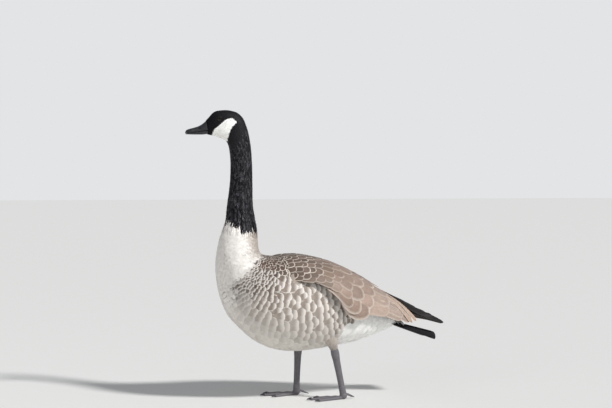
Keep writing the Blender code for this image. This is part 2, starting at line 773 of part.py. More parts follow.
def centre_on_floor():
    """Moves everything so that the origin is the middle of the bird's box, on the floor."""
    bpy.context.view_layer.update()
    nodes = bpy.data.collections["canada_goose"].objects
    corners = np.array([obj.matrix_world @ v.co for obj in nodes for v in obj.data.vertices])
    low, high = corners.min(axis=0), corners.max(axis=0)
    shift = Vector((-(low[0] + high[0]) / 2, -(low[1] + high[1]) / 2, -low[2]))
    for obj in nodes:
        obj.data.transform(Matrix.Translation(shift))
    print("moved by", [round(v * 1000, 3) for v in shift], "size", (high - low).round(4))


def main():
    clear_scene()
    shelf = bpy.data.collections.new("canada_goose")
    bpy.context.scene.collection.children.link(shelf)
    make_head()
    make_bill()
    make_neck()
    make_torso()
    make_wing("wing_left", -1)
    make_wing("wing_right", 1)
    make_tail()
    for side_name, leg in LEGS.items():
        knuckle = make_leg(side_name, leg)
        make_foot(side_name, leg, knuckle)
    centre_on_floor()


main()
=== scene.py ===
# %% [markdown]
# # A Canada goose at life size
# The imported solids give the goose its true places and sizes: bill, head, neck, torso, folded wings,
# tail, legs and feet. This lesson dresses them. One skin takes the place of the flesh, every feather
# is a thin closed vane laid along the lie of the coat, and the bill, eyes, legs and claws are pieces
# of their own. All lengths below are in millimetres until the last step turns them to metres.

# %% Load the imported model
import math

import bmesh
import bpy
import numpy as np
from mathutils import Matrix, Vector
from mathutils.bvhtree import BVHTree


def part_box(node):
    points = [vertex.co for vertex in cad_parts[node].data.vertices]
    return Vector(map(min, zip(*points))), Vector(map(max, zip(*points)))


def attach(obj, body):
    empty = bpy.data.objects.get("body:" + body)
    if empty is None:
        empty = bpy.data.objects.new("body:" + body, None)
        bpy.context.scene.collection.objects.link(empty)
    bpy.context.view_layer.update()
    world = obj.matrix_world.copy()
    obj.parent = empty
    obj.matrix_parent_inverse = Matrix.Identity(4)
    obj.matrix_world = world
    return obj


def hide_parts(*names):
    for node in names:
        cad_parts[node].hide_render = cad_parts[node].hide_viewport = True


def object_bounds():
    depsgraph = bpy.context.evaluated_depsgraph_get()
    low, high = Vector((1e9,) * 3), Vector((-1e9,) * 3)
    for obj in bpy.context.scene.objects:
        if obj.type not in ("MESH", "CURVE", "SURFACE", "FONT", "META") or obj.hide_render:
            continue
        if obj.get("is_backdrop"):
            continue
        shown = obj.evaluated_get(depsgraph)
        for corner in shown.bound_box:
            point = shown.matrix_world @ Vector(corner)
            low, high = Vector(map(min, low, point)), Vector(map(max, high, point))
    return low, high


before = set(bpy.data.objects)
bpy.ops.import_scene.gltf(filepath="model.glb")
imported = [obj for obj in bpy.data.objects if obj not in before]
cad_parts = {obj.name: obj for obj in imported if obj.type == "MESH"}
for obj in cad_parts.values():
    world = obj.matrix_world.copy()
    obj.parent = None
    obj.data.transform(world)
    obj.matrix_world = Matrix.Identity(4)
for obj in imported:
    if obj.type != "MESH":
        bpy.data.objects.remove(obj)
cad_box = [list(corner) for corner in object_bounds()]
MM = 0.001
# The drawing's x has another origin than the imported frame, so the bill's tip ties the two together.
BILL_TIP_X = -277.8
SHIFT = np.array([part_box("bill_upper")[0][0] * 1000 - BILL_TIP_X, 0.0, 0.0])
# one source of chance with a fixed seed, so that every run gives the same goose
rng = np.random.default_rng(7)
print("solids", sorted(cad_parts), "moved by", SHIFT.round(3))

# %% [markdown]
# ## The outline of the body
# A bird's body is a long tube whose section changes all the way, so it is lofted through named
# stations. Each one gives the section's highest or rearmost point, its lowest or foremost point, its
# half width, where it is widest and how boxy it is. They are the same stations that the solids have.

# %% Stations of the body
# upper x and z, lower x and z, half width, share of the height where it is widest, how boxy (1 is round)
STATIONS = {
    "bill_root": (-229, 663, -227, 631, 13.5, 0.55, 0.80),
    "brow": (-221, 672, -217, 628.5, 16.5, 0.52, 0.80),
    "forehead": (-209.5, 684, -205, 626, 20, 0.50, 0.80),
    "crown": (-190, 688.5, -193, 621.5, 22.5, 0.48, 0.82),
    "cheek": (-171.5, 688, -183, 617.5, 23.5, 0.48, 0.85),
    "nape": (-154, 683, -178, 611.5, 24, 0.48, 0.88),
    "nape_low": (-140.4, 671, -175, 604, 24, 0.48, 0.92),
    "throat": (-131.7, 652, -173, 595, 23.5, 0.48, 0.95),
    "neck_top": (-122, 612, -170.5, 573, 23.5, 0.48, 1.0),
    "neck_high": (-118, 565, -170, 545, 24.5, 0.48, 1.0),
    "neck_mid": (-117, 512, -172, 509, 25.5, 0.48, 1.0),
    "neck_low": (-115.5, 458, -178.5, 460, 28, 0.48, 1.0),
    "sock": (-107, 409, -183, 423, 34, 0.48, 1.0),
    "neck_foot": (-104.5, 380, -196, 386, 45, 0.50, 1.0),
    "collar": (-103, 360, -202, 355, 58, 0.52, 0.96),
    "breast_top": (-98, 349.5, -204.5, 322, 71, 0.54, 0.92),
    "breast": (-86, 345, -202, 287, 81, 0.54, 0.90),
    "breast_low": (-68, 343, -193, 243, 89, 0.52, 0.88),
    "keel_front": (-45, 342, -176, 203, 94, 0.50, 0.88),
    "keel": (-18, 341.5, -146, 169, 97, 0.50, 0.88),
    "belly_front": (12, 338, -108, 138, 98, 0.50, 0.88),
    "belly": (42, 331, -66, 120, 98, 0.50, 0.88),
    "belly_rear": (72, 320, -18, 113.5, 95, 0.50, 0.88),
    "loin": (102, 305, 30, 117, 90, 0.50, 0.88),
    "vent_front": (130, 286, 80, 124, 81, 0.50, 0.90),
    "vent": (158, 263, 128, 131, 68, 0.50, 0.92),
    "undertail_front": (184, 237, 170, 144, 52, 0.50, 0.94),
    "undertail": (207, 218, 205, 156, 36, 0.50, 0.96),
    "tail_root": (226, 203, 230, 166, 23, 0.50, 1.0),
    "rump_end": (238, 193, 243, 174, 12, 0.50, 1.0),
}
NAMES = list(STATIONS)
VALUES = np.array(list(STATIONS.values()), float)
MIDDLES = (VALUES[:, 0:2] + VALUES[:, 2:4]) / 2
KNOTS = np.concatenate([[0], np.cumsum(np.linalg.norm(np.diff(MIDDLES, axis=0), axis=1))])
print("length along the body", round(KNOTS[-1]), "mm")


def place(name):
    """How far along the body a station lies."""
    return KNOTS[NAMES.index(name)]


# %% Smooth curves and body sections
def smooth(knots, values, at):
    """Values at many places on a smooth curve through the knots."""
    knots, values = np.asarray(knots, float), np.asarray(values, float)
    slopes = np.gradient(values, knots, axis=0)
    at = np.asarray(at, float)
    i = np.clip(np.searchsorted(knots, at, side="right") - 1, 0, len(knots) - 2)
    span = knots[i + 1] - knots[i]
    u = (at - knots[i]) / span
    if values.ndim > 1:
        span, u = span[..., None], u[..., None]
    keep, turn = (1 + 2 * u) * (1 - u) ** 2, u * (1 - u) ** 2
    ahead = u * u * (1 - u) * span * slopes[i + 1]
    return keep * values[i] + turn * span * slopes[i] + (1 - keep) * values[i + 1] - ahead


def step(low, high, x):
    """0 below low, 1 above high, and a smooth rise between."""
    u = np.clip((np.asarray(x, float) - low) / (high - low), 0, 1)
    return u * u * (3 - 2 * u)


def unit(vectors):
    """The same directions with length 1."""
    return vectors / np.maximum(np.linalg.norm(vectors, axis=-1, keepdims=True), 1e-9)


def body_section(at, turn):
    """Points of the body's outer form: at runs along the body, turn runs round the section."""
    upper_x, upper_z, lower_x, lower_z, half, widest, boxy = np.moveaxis(smooth(KNOTS, VALUES, at), -1, 0)
    c, s = np.cos(turn), np.sin(turn)
    share = np.where(c >= 0, widest * (1 - c), widest - (1 - widest) * c)
    side = np.sign(s) * np.abs(s) ** boxy * half
    x = upper_x + (lower_x - upper_x) * share
    z = upper_z + (lower_z - upper_z) * share
    return np.stack([x, -side, z], axis=-1)


# %% [markdown]
# ## A surface to lay feathers on
# Every feather starts on the skin, points along the lie of the coat and follows the curve under it.
# So each surface is kept as a fine grid of points and directions, which can be read anywhere.

# %% Surfaces as grids
class Surface:
    """A tube-like surface as a grid: along it, and round it."""

    def __init__(self, points, along, depth):
        self.points, self.along, self.depth = points, along, depth
        self.columns = points.shape[1]
        down = np.gradient(points, along, axis=0)
        wrapped = np.concatenate([points[:, -1:], points, points[:, :1]], axis=1)
        round_ = (wrapped[:, 2:] - wrapped[:, :-2]) / (4 * math.pi / self.columns)
        self.down, self.round = down, round_
        normal = unit(np.cross(round_, down))
        centre = points.mean(axis=1, keepdims=True)
        outward = np.sign(((points - centre) * normal).sum(axis=-1).mean())
        self.normal = normal * (outward or 1)

    def read(self, grid, at, turn):
        """A grid's value between its points."""
        row = np.clip((at - self.along[0]) / (self.along[1] - self.along[0]), 0, len(self.along) - 1.001)
        column = np.mod(turn / (2 * math.pi), 1) * self.columns
        r, c = row.astype(int), column.astype(int) % self.columns
        u, v = row - r, column - np.floor(column)
        d = (c + 1) % self.columns
        if grid.ndim > 2:
            u, v = u[..., None], v[..., None]
        near = grid[r, c] * (1 - v) + grid[r, d] * v
        far = grid[r + 1, c] * (1 - v) + grid[r + 1, d] * v
        return near * (1 - u) + far * u


TURNS = np.linspace(0, 2 * math.pi, 240, endpoint=False)
ALONG = np.linspace(0, KNOTS[-1], 1000)
# how thick the coat lies over the skin, in mm
COAT_DEPTH = {
    "bill_root": 0.4, "forehead": 1.3, "throat": 2.2, "neck_mid": 3.0, "sock": 3.6, "collar": 4.6,
    "keel": 5.4, "loin": 5.6, "vent": 5.2, "rump_end": 3.0,
}
depths = np.interp(ALONG, [place(n) for n in COAT_DEPTH], list(COAT_DEPTH.values()))
body = Surface(body_section(ALONG[:, None], TURNS[None, :]), ALONG, depths)
print("body surface", body.points.shape, "half width", round(float(-body.points[..., 1].min()), 1), "mm")

# %% [markdown]
# ## Making meshes
# A coat has thousands of like pieces, so they are computed as arrays and joined as they are made.
# Each feather is a closed vane: an upper and a lower sheet that share their rim, with the shaft as a
# low ridge along the middle. It carries its colour, its own two directions for the shader, and a
# small patch of the OFBake map at its root's place. A soft feather has no crisp surface of its own,
# so its shading normals are turned part of the way to the coat's, which melts the vanes together.

# %% Mesh helpers
def to_metres(points):
    """From the drawing's millimetres to the model's frame."""
    return (np.asarray(points, float).reshape(-1, 3) + SHIFT) * MM


def linked(name, data):
    """An object of a mesh, a light or a camera, linked to the scene."""
    piece = bpy.data.objects.new(name, data)
    bpy.context.scene.collection.objects.link(piece)
    return piece


def applied(piece):
    """Makes what a piece's modifiers give its mesh, and removes them."""
    graph = bpy.context.evaluated_depsgraph_get()
    made = bpy.data.meshes.new_from_object(piece.evaluated_get(graph))
    piece.modifiers.clear()
    piece.data = made
    return made


def new_piece(name, points, faces, material):
    """Links a mesh piece with smooth faces."""
    mesh = bpy.data.meshes.new(name)
    mesh.from_pydata(to_metres(points), [], faces)
    mesh.materials.append(material)
    mesh.shade_smooth()
    return linked(name, mesh)


def outwards(piece):
    """Turns a closed piece's faces out, after merging what lies on one place."""
    shape = bmesh.new()
    shape.from_mesh(piece.data)
    bmesh.ops.remove_doubles(shape, verts=shape.verts, dist=1e-6)
    bmesh.ops.recalc_face_normals(shape, faces=shape.faces)
    shape.to_mesh(piece.data)
    shape.free()
    return piece


def lofted(name, rings, material):
    """A closed piece through rings of points, with a fan at each end."""
    rings = np.asarray(rings, float)
    rows, count = rings.shape[:2]
    grid = np.arange(rows * count).reshape(rows, count)
    a, b = grid[:-1], grid[1:]
    quads = np.stack([a, np.roll(a, -1, 1), np.roll(b, -1, 1), b], axis=-1).reshape(-1, 4).tolist()
    points = np.concatenate([rings.reshape(-1, 3), rings[0].mean(0)[None], rings[-1].mean(0)[None]])
    first, last = rows * count, rows * count + 1
    fans = [(first, int(grid[0, (i + 1) % count]), int(grid[0, i])) for i in range(count)]
    fans += [(last, int(grid[-1, i]), int(grid[-1, (i + 1) % count])) for i in range(count)]
    return outwards(new_piece(name, points, quads + fans, material))


def paint(mesh, name, values, kind):
    """Stores a value per point, as a colour or a vector."""
    layer = mesh.attributes.new(name, kind, "POINT")
    layer.data.foreach_set("color" if kind == "FLOAT_COLOR" else "vector", np.ravel(values).astype(np.float32))


def bake_map(mesh, uv):
    """Writes the OFBake map from one place per point."""
    layer = mesh.uv_layers.new(name="OFBake")
    corners = np.empty(len(mesh.loops), int)
    mesh.loops.foreach_get("vertex_index", corners)
    layer.data.foreach_set("uv", np.ravel(np.asarray(uv)[corners]).astype(np.float32))


# %% Feathers from arrays
def feather_rows(lengths, halves, straight, curved, square=2.0, base=0.5):
    """Shares along each feather and its half widths there: wider from the quill on, then a round tip.

    square is how blunt the tip is (2 is round), base the quill's width as a share of the vane's.
    """
    lengths, halves = np.broadcast_arrays(np.asarray(lengths, float), np.asarray(halves, float))
    reach = np.clip(1 - 1.1 * halves / lengths, 0.3, 0.94)[:, None]
    first = np.linspace(0, 1, straight, endpoint=False)[None]
    tip = np.sin(np.linspace(0, 0.5 * math.pi, curved))[None]
    shares = np.concatenate([first * reach, reach + (1 - reach) * tip], axis=1)
    growth = base + (1 - base) * np.sin(first * math.pi / 2)
    narrow = (1 - (0.985 * tip) ** square) ** (1 / square)
    return shares, halves[:, None] * np.concatenate([growth + 0 * reach, narrow + 0 * reach], axis=1)


# A vane's form. droop bends it across its width and roll tilts it. ridge is the shaft's height, tuck how
# far the edges turn down and thick its thickness, in mm. fray is how ragged the tip is, sides how much
# further in than the tip the sides count as, and soft how far the shading normals turn to the coat's.
VANE_FORM = {
    "droop": 0.0, "roll": 0.0, "ridge": 0.1, "tuck": 0.2, "thick": 0.15, "fray": 0.03,
    "sides": 1.0, "soft": 0.6,
}


def feathers(name, lines, ups, halves, material, colour, fringe, root_uv, patch=0.003, columns=3, **shape):
    """Joined closed vanes. lines and ups are (count, rows, 3), halves (count, rows), all in mm.

    colour is (count, 3) linear, fringe (count) is how pale the edge is, root_uv (count, 2) the root's
    place on the OFBake map and patch the feather's size there. shape may change what VANE_FORM holds.
    """
    form = {**VANE_FORM, **shape}
    count, rows = halves.shape
    droop, roll = [np.broadcast_to(form[key], (count,))[:, None, None] for key in ("droop", "roll")]
    way = np.gradient(lines, axis=1)
    beside = unit(np.cross(way, ups))
    ups = unit(np.cross(beside, way))
    across = np.linspace(-1, 1, columns)
    reach = halves[:, :, None] * across
    lift = form["ridge"] * (1 - np.abs(across)) - form["tuck"] * across**2 - droop * reach**2 + roll * across
    length = np.linalg.norm(np.diff(lines, axis=1), axis=2)
    run = np.concatenate([np.zeros((count, 1)), np.cumsum(length, axis=1)], axis=1)
    late = (np.linspace(0, 1, rows) ** 3)[None, :, None]
    jag = rng.uniform(-1, 0.6, (count, 1, columns)) * late * form["fray"] * run[:, -1:, None]
    top = lines[:, :, None] + beside[:, :, None] * reach[..., None] + ups[:, :, None] * lift[..., None]
    top = top + unit(way)[:, :, None] * jag[..., None]
    under = top[:, 1:-1, 1:-1] - ups[:, 1:-1, None] * form["thick"]
    inner_rows, inner_columns = rows - 2, columns - 2
    each = rows * columns + inner_rows * inner_columns
    points = np.concatenate([top.reshape(count, -1, 3), under.reshape(count, -1, 3)], axis=1)
    upper = np.arange(rows * columns).reshape(rows, columns)
    lower = upper.copy()
    lower[1:-1, 1:-1] = rows * columns + np.arange(inner_rows * inner_columns).reshape(inner_rows, -1)
    tile = [(g[:-1, :-1], g[:-1, 1:], g[1:, 1:], g[1:, :-1]) for g in (upper, lower)]
    tops, unders = np.stack(tile[0], axis=-1).reshape(-1, 4), np.stack(tile[1][::-1], axis=-1).reshape(-1, 4)
    faces = np.concatenate([tops, unders])
    faces = (faces[None] + (np.arange(count) * each)[:, None, None]).reshape(-1, 4)
    piece = new_piece(name, points.reshape(-1, 3), faces.tolist(), material)
    facing = unit(np.cross(np.gradient(top, axis=2), np.gradient(top, axis=1)))
    facing = unit(facing * (1 - form["soft"]) + ups[:, :, None] * form["soft"]).reshape(count, -1, 3)
    backs = np.stack(tile[0][::-1], axis=-1).reshape(-1, 4)
    shading = np.concatenate([facing[:, tops], -facing[:, backs]], axis=1)
    piece.data.normals_split_custom_set(shading.reshape(-1, 3).tolist())
    widest = np.maximum(halves.max(axis=1), 0.1)[:, None, None]
    flank = halves[:, :, None] * (1 - np.abs(across)) * form["sides"]
    edge = np.minimum(flank, (run[:, -1:] - run)[:, :, None]) * 10 / widest
    vane = np.stack([reach, np.broadcast_to(run[:, :, None], reach.shape), edge], axis=-1)
    vane = np.concatenate([vane.reshape(count, -1, 3), vane[:, 1:-1, 1:-1].reshape(count, -1, 3)], axis=1)
    paint(piece.data, "vane", vane, "FLOAT_VECTOR")
    tint = np.concatenate([colour, np.asarray(fringe, float)[:, None]], axis=1)
    paint(piece.data, "plume", np.repeat(tint[:, None], each, axis=1), "FLOAT_COLOR")
    own = np.stack([vane[..., 0] / widest[..., 0] / 2, vane[..., 1] / run[:, -1:]], axis=-1)
    bake_map(piece.data, np.clip(root_uv[:, None] + own * patch, 0, 1).reshape(-1, 2))
    print(name, count, "feathers,", len(faces) * 2, "triangles")
    return piece


# %% [markdown]
# ## Colours and the feather material
# Feathers are keratin: matt to satin, coloured by pigment, and pale where the edge has worn. On the
# black feathers the pale fringe is painted highlight instead: it stands for light glinting on their
# edges. The colour of each one is chosen by where it grows. The shader only adds what happens within
# one vane: the pale fringe, the fine barbs that run obliquely from the shaft, and the shaft itself.

# %% Colour and node helpers
def hex_colour(code):
    """A linear colour from an sRGB hex value."""
    parts = np.array([int(code[i : i + 2], 16) / 255 for i in (1, 3, 5)])
    return np.where(parts <= 0.04045, parts / 12.92, ((parts + 0.055) / 1.055) ** 2.4)


def add(tree, kind, inputs=None, **settings):
    """Adds a node with its settings and links. A value that is a socket is linked."""
    made = tree.nodes.new(kind)
    for key, value in settings.items():
        setattr(made, key, value)
    for key, value in (inputs or {}).items():
        if isinstance(value, bpy.types.NodeSocket):
            tree.links.new(value, made.inputs[key])
        else:
            made.inputs[key].default_value = value
    return made


def new_material(name, **constants):
    """A material with its shader's own sockets set, and the tree to build on."""
    material = bpy.data.materials.new(name)
    material.use_nodes = True
    shader = material.node_tree.nodes["Principled BSDF"]
    for key, value in constants.items():
        shader.inputs[key.replace("_", " ")].default_value = value
    return material, material.node_tree, shader


def rgba(code):
    """A colour socket's value from an sRGB hex value."""
    return (*hex_colour(code), 1)


# %% Feather material
BARB_SLANT = 1.3  # how far a barb runs towards the tip for each mm across
BARB_REACH = 0.12  # how much slower the grain changes along a barb than from barb to barb
PLACE_DRIFT = (45, 45, 45)  # moves the grain from place to place, so that no two feathers match


def feather_material(name, fringe, wide, roughness, barb_mm, streak, shaft=1.0, sheen=0.1, shine=0.28):
    """Keratin vanes: the ground colour, darker before a pale fringe, with barbs and a shaft.

    The vane attribute holds how far across from the shaft and along from the root a place is, in mm,
    and how far in from the edge, in tenths of the half width, which is also the measure of wide.
    """
    material, tree, shader = new_material(
        name, Sheen_Weight=sheen, Sheen_Roughness=0.45, Specular_IOR_Level=shine
    )
    plume = add(tree, "ShaderNodeAttribute", attribute_name="plume")
    vane = add(tree, "ShaderNodeAttribute", attribute_name="vane")
    split = add(tree, "ShaderNodeSeparateXYZ", {0: vane.outputs["Vector"]})
    across = add(tree, "ShaderNodeMath", {0: split.outputs[0]}, operation="ABSOLUTE").outputs[0]
    where = add(tree, "ShaderNodeTexCoord").outputs["Object"]
    # barbs: a noise drawn out along lines that slant from the shaft to the edge
    slant = {0: across, 1: -BARB_SLANT, 2: split.outputs[1]}
    slant = add(tree, "ShaderNodeMath", slant, operation="MULTIPLY_ADD").outputs[0]
    lane = add(tree, "ShaderNodeMath", {0: slant, 1: 1 / barb_mm}, operation="MULTIPLY").outputs[0]
    reach = add(tree, "ShaderNodeMath", {0: across, 1: BARB_REACH / barb_mm}, operation="MULTIPLY").outputs[0]
    lane = add(tree, "ShaderNodeCombineXYZ", {0: lane, 1: reach}).outputs[0]
    lane = {0: where, 1: PLACE_DRIFT, 2: lane}
    lane = add(tree, "ShaderNodeVectorMath", lane, operation="MULTIPLY_ADD").outputs[0]
    barbs = add(tree, "ShaderNodeTexNoise", {"Vector": lane, "Scale": 1.6, "Detail": 3.0}).outputs[0]
    # a soft mottle of about 9 mm, as worn plumage has
    mottle = add(tree, "ShaderNodeTexNoise", {"Vector": where, "Scale": 110.0, "Detail": 3.0}).outputs[0]
    # the pale fringe, ragged by the barbs, and the darker ground just inside it
    soft_edge = {0: barbs, 1: wide * 2.2, 2: split.outputs[2]}
    soft_edge = add(tree, "ShaderNodeMath", soft_edge, operation="MULTIPLY_ADD")
    limits = {0: soft_edge.outputs[0], 1: wide * 1.3, 2: wide * 2.9, 3: 1.0, 4: 0.0}
    pale = add(tree, "ShaderNodeMapRange", limits, interpolation_type="SMOOTHSTEP").outputs[0]
    pale = add(tree, "ShaderNodeMath", {0: pale, 1: plume.outputs["Alpha"]}, operation="MULTIPLY").outputs[0]
    limits = {0: soft_edge.outputs[0], 1: wide * 2.4, 2: wide * 5.5, 3: -0.2, 4: 0.1}
    inner = add(tree, "ShaderNodeMapRange", limits, interpolation_type="SMOOTHSTEP").outputs[0]
    inner = {0: inner, 1: plume.outputs["Alpha"], 2: 1.0}
    inner = add(tree, "ShaderNodeMath", inner, operation="MULTIPLY_ADD").outputs[0]
    patchy = add(tree, "ShaderNodeMapRange", {0: mottle, 1: 0.3, 2: 0.7, 3: 0.92, 4: 1.08}).outputs[0]
    depth = add(tree, "ShaderNodeMath", {0: inner, 1: patchy}, operation="MULTIPLY").outputs[0]
    ground = add(tree, "ShaderNodeVectorMath", {0: plume.outputs["Color"], "Scale": depth}, operation="SCALE")
    mixed = {0: pale, 6: ground.outputs[0], 7: rgba(fringe)}
    edged = add(tree, "ShaderNodeMix", mixed, data_type="RGBA").outputs[2]
    # the barbs' grain and the shaft, which is a line 0.3 to 0.9 mm wide
    shade = add(tree, "ShaderNodeMapRange", {0: barbs, 1: 0.3, 2: 0.7, 3: 1 - streak, 4: 1 + streak}).outputs[0]
    quill = add(tree, "ShaderNodeMapRange", {0: across, 1: 0.15, 2: 0.45, 3: shaft, 4: 1.0}).outputs[0]
    shade = add(tree, "ShaderNodeMath", {0: shade, 1: quill}, operation="MULTIPLY").outputs[0]
    final = add(tree, "ShaderNodeVectorMath", {0: edged, "Scale": shade}, operation="SCALE").outputs[0]
    tree.links.new(final, shader.inputs["Base Color"])
    limits = {0: barbs, 1: 0.3, 2: 0.7, 3: roughness - 0.06, 4: roughness + 0.08}
    gloss = add(tree, "ShaderNodeMapRange", limits)
    tree.links.new(gloss.outputs[0], shader.inputs["Roughness"])
    bump = add(tree, "ShaderNodeBump", {"Strength": 0.5, "Distance": 0.25 * MM, "Height": barbs})
    tree.links.new(bump.outputs[0], shader.inputs["Normal"])
    return material


# Barbs are about 0.1 mm apart on a small feather and 0.4 mm on a flight feather. They are drawn 1 to
# 2 mm apart, so that their grain still shows from where the picture is taken.

# Downy keratin: matt, with a soft sheen at grazing light and hardly any edge.
DOWN_FEATHER = feather_material(
    "keratin_soft_body_feather", "#f0ebe4", wide=2.4, roughness=0.7, barb_mm=1.0, streak=0.07, sheen=0.2
)
# The same with a broad bleached tip: the tips of a row read as one pale bar.
BARRED_FEATHER = feather_material(
    "keratin_barred_flank_feather", "#ece6df", wide=4.8, roughness=0.7, barb_mm=1.1, streak=0.1, sheen=0.15
)
# Dense black pigment that swallows light. Its grey fringe is painted highlight, for light glinting
# on some edges along the furrows, and its lighter shaft line is a painted glint too.
BLACK_FEATHER = feather_material(
    "keratin_black_neck_feather", "#86848b", wide=3.4, roughness=0.55, barb_mm=0.8, streak=0.2, shaft=1.4,
    sheen=0.0, shine=0.12,
)
# A firm closed web: satin brown with a thin worn edge and a darker shaft.
COVERT_VANE = feather_material(
    "keratin_covert_vane", "#e4d8cb", wide=2.1, roughness=0.5, barb_mm=1.5, streak=0.13, shaft=0.7
)
# The stiffest and smoothest vanes: nearly black, with a low gloss along each web and a paler shaft.
FLIGHT_VANE = feather_material(
    "keratin_flight_vane", "#4a423d", wide=0.7, roughness=0.4, barb_mm=1.6, streak=0.2, shaft=1.8, sheen=0.03
)
print("feather materials", [m.name for m in bpy.data.materials if m.name.startswith("keratin")])

# %% [markdown]
# ## Where each colour grows
# The head and neck are black with a white band from cheek to cheek under the throat. Below the neck
# the breast is cream, the flanks grey-brown with pale tips that line up as bars, the mantle darker
# brown, and the vent and undertail pure white. Each border is a line on the body that single
# feathers cross a little, as they do on the bird.

# %% Plumage colours by place
SHADES = {
    "black": "#060507",
    "white": "#e6e5e1",
    "cream": "#eae5df",
    "shoulder": "#54463c",
    "flank": "#a19489",
    "flank_rear": "#74665b",
    "low_flank": "#aca39a",
    "nape_wash": "#948679",
    "mantle": "#58473e",
    "belly": "#d8d2c9",
    "vent": "#f5f4f0",
    "rump": "#1a1716",
    "thigh": "#b3a9a0",
}
SHADES = {name: hex_colour(code) for name, code in SHADES.items()}
# corners (x, z) of the white cheek band, which runs on under the throat
CHEEK = [
    (-179, 667), (-172, 668.5), (-164.5, 665.5), (-158.5, 661), (-158.5, 657), (-164, 652.5), (-169.5, 647.5),
    (-173.5, 640), (-177, 629), (-180, 600), (-207, 612), (-215, 630), (-211, 642), (-202, 650), (-191, 660),
]
# x where the markings begin behind the pale breast, by height
MARK_Z = (150, 215, 271, 315, 344, 365)
MARK_X = (-150, -186, -188, -150, -112, -96)
# how low the brown of the mantle comes, by place along the back
MANTLE_X = (-170, -85, -62, -40, 0, 35, 80, 110, 130)
MANTLE_Z = (325, 312, 296, 292, 326, 321, 303, 285, 262)
# how low the black of the neck comes, from the throat's side to the nape
SOCK_X, SOCK_Z = (-182, -161, -153, -107), (424, 414, 405, 403)
# where the white of the vent begins, by height
VENT_Z, VENT_X = (125, 150, 175, 185, 240), (66, 78, 90, 118, 130)


def inside(x, z, corners):
    """Whether each (x, z) lies within a closed outline."""
    hit = np.zeros(np.shape(x), bool)
    for (ax, az), (bx, bz) in zip(corners, corners[1:] + corners[:1]):
        cross = (az > z) != (bz > z)
        hit ^= cross & (x < (bx - ax) * (z - az) / ((bz - az) or 1e-9) + ax)
    return hit


def on_mantle(points, wobble=0.0):
    """How much a place belongs to the brown of the upper back."""
    x, _, z = np.moveaxis(np.asarray(points, float), -1, 0)
    behind = x - np.interp(z, MARK_Z, MARK_X)
    return step(-5, 5, z - np.interp(x, MANTLE_X, MANTLE_Z) + wobble * 3) * step(6, 30, behind + wobble * 5)


def plumage_at(points, jitter=0.0):
    """The colour of a feather and how pale its edge is, from where it lies.

    Each weight below is how much a place belongs to one zone, and later zones lie over earlier ones.
    jitter moves each feather's reading by a few mm, so that the borders are feathered.
    """
    x, y, z = np.moveaxis(np.asarray(points, float), -1, 0)
    wobble = jitter * rng.normal(0, 1, x.shape)
    mantle = on_mantle(points, wobble)
    sock = z + wobble * 4 + jitter * 5 > np.interp(x, SOCK_X, SOCK_Z)
    cheek = inside(x + wobble * 0.5, z + wobble * 0.5, CHEEK)
    behind = x - np.interp(z, MARK_Z, MARK_X)
    marked = step(-14, 105, behind + wobble * 4)
    shoulder = step(0, 25, behind + wobble * 5) * (1 - step(90, 165, behind + wobble * 12))
    shoulder = shoulder * step(205, 290, z + wobble * 8)
    low = 1 - step(170, 240, z + wobble * 6)
    rear = step(55, 100, x + wobble * 8) * step(140, 175, z + wobble * 5)
    wash = step(-152, -114, x + wobble * 5) * step(330, 355, z)
    belly = 1 - step(125, 205, z + 0.25 * (x + 40) + wobble * 7)
    vent = step(-3, 3, x - np.interp(z, VENT_Z, VENT_X) + wobble * 2.5)
    rump = step(110, 140, x) * step(215, 240, z + 0.35 * (x - 150))
    colour = np.broadcast_to(SHADES["cream"], (*x.shape, 3)).copy()
    fringe = np.full(x.shape, 0.12)
    for weight, name, pale in (
        (marked, "flank", 0.95),
        (marked * low, "low_flank", 0.8),
        (shoulder * 0.9, "shoulder", 0.8),
        (rear * 0.6, "flank_rear", 0.8),
        (wash * 0.85, "nape_wash", 0.5),
        (belly, "belly", 0.3),
        (mantle, "mantle", 0.95),
        (vent, "vent", 0.0),
        (rump, "rump", 0.0),
    ):
        colour += (SHADES[name] - colour) * weight[..., None]
        fringe += (pale - fringe) * weight
    # black feathers get a pale edge too: it is painted highlight, light glinting on their edges
    colour[sock], fringe[sock] = SHADES["black"], 0.32
    colour[sock & cheek], fringe[sock & cheek] = SHADES["white"], 0.0
    colour *= 1 + jitter * 0.045 * rng.normal(0, 1, (*x.shape, 1))
    return np.clip(colour, 0, 1), fringe


# %% [markdown]
# ## The skin
# Under the coat lies one continuous skin from the bill's root to the rump, thighs included. It is
# the same loft, set in by the depth of the feathers, and it carries the same markings, so that no
# pale gap shows between two vanes.

# %% Skin material and the thighs' form
# Skin under down: matt, a darker ghost of the plumage over it, with a fuzz of about 2.4 mm.
skin_material, tree, shader = new_material("feathered_skin", Specular_IOR_Level=0.2)
plume = add(tree, "ShaderNodeAttribute", attribute_name="plume")
down = add(tree, "ShaderNodeTexNoise", {"Scale": 420.0, "Detail": 4.0})
tone = add(tree, "ShaderNodeMapRange", {0: down.outputs[0], 1: 0.3, 2: 0.7, 3: 0.5, 4: 0.8})
tinted = {0: plume.outputs["Color"], "Scale": tone.outputs[0]}
tinted = add(tree, "ShaderNodeVectorMath", tinted, operation="SCALE")
tree.links.new(tinted.outputs[0], shader.inputs["Base Color"])
shader.inputs["Roughness"].default_value = 0.85
fuzz = add(tree, "ShaderNodeBump", {"Strength": 0.5, "Distance": 0.0004, "Height": down.outputs[0]})
tree.links.new(fuzz.outputs[0], shader.inputs["Normal"])

# places of each leg's joints in the drawing
LEGS = {
    "left": {"ankle": (73, -49, 114), "toes": (95, -46, 10), "thigh": (53, -52, 178)},
    "right": {"ankle": (8, 49, 114), "toes": (3, 46, 10), "thigh": (4, 52, 168)},
}
# share of the way from hip to knee, and the half sizes there, fore and across
THIGH_SECTIONS = ((0, 34, 22), (0.35, 28, 19), (0.65, 18, 14), (0.84, 12, 10), (1.0, 9.5, 8))
KNEE_RISE = 0.12  # the feathered thigh ends this share of the way up from the ankle to the hip


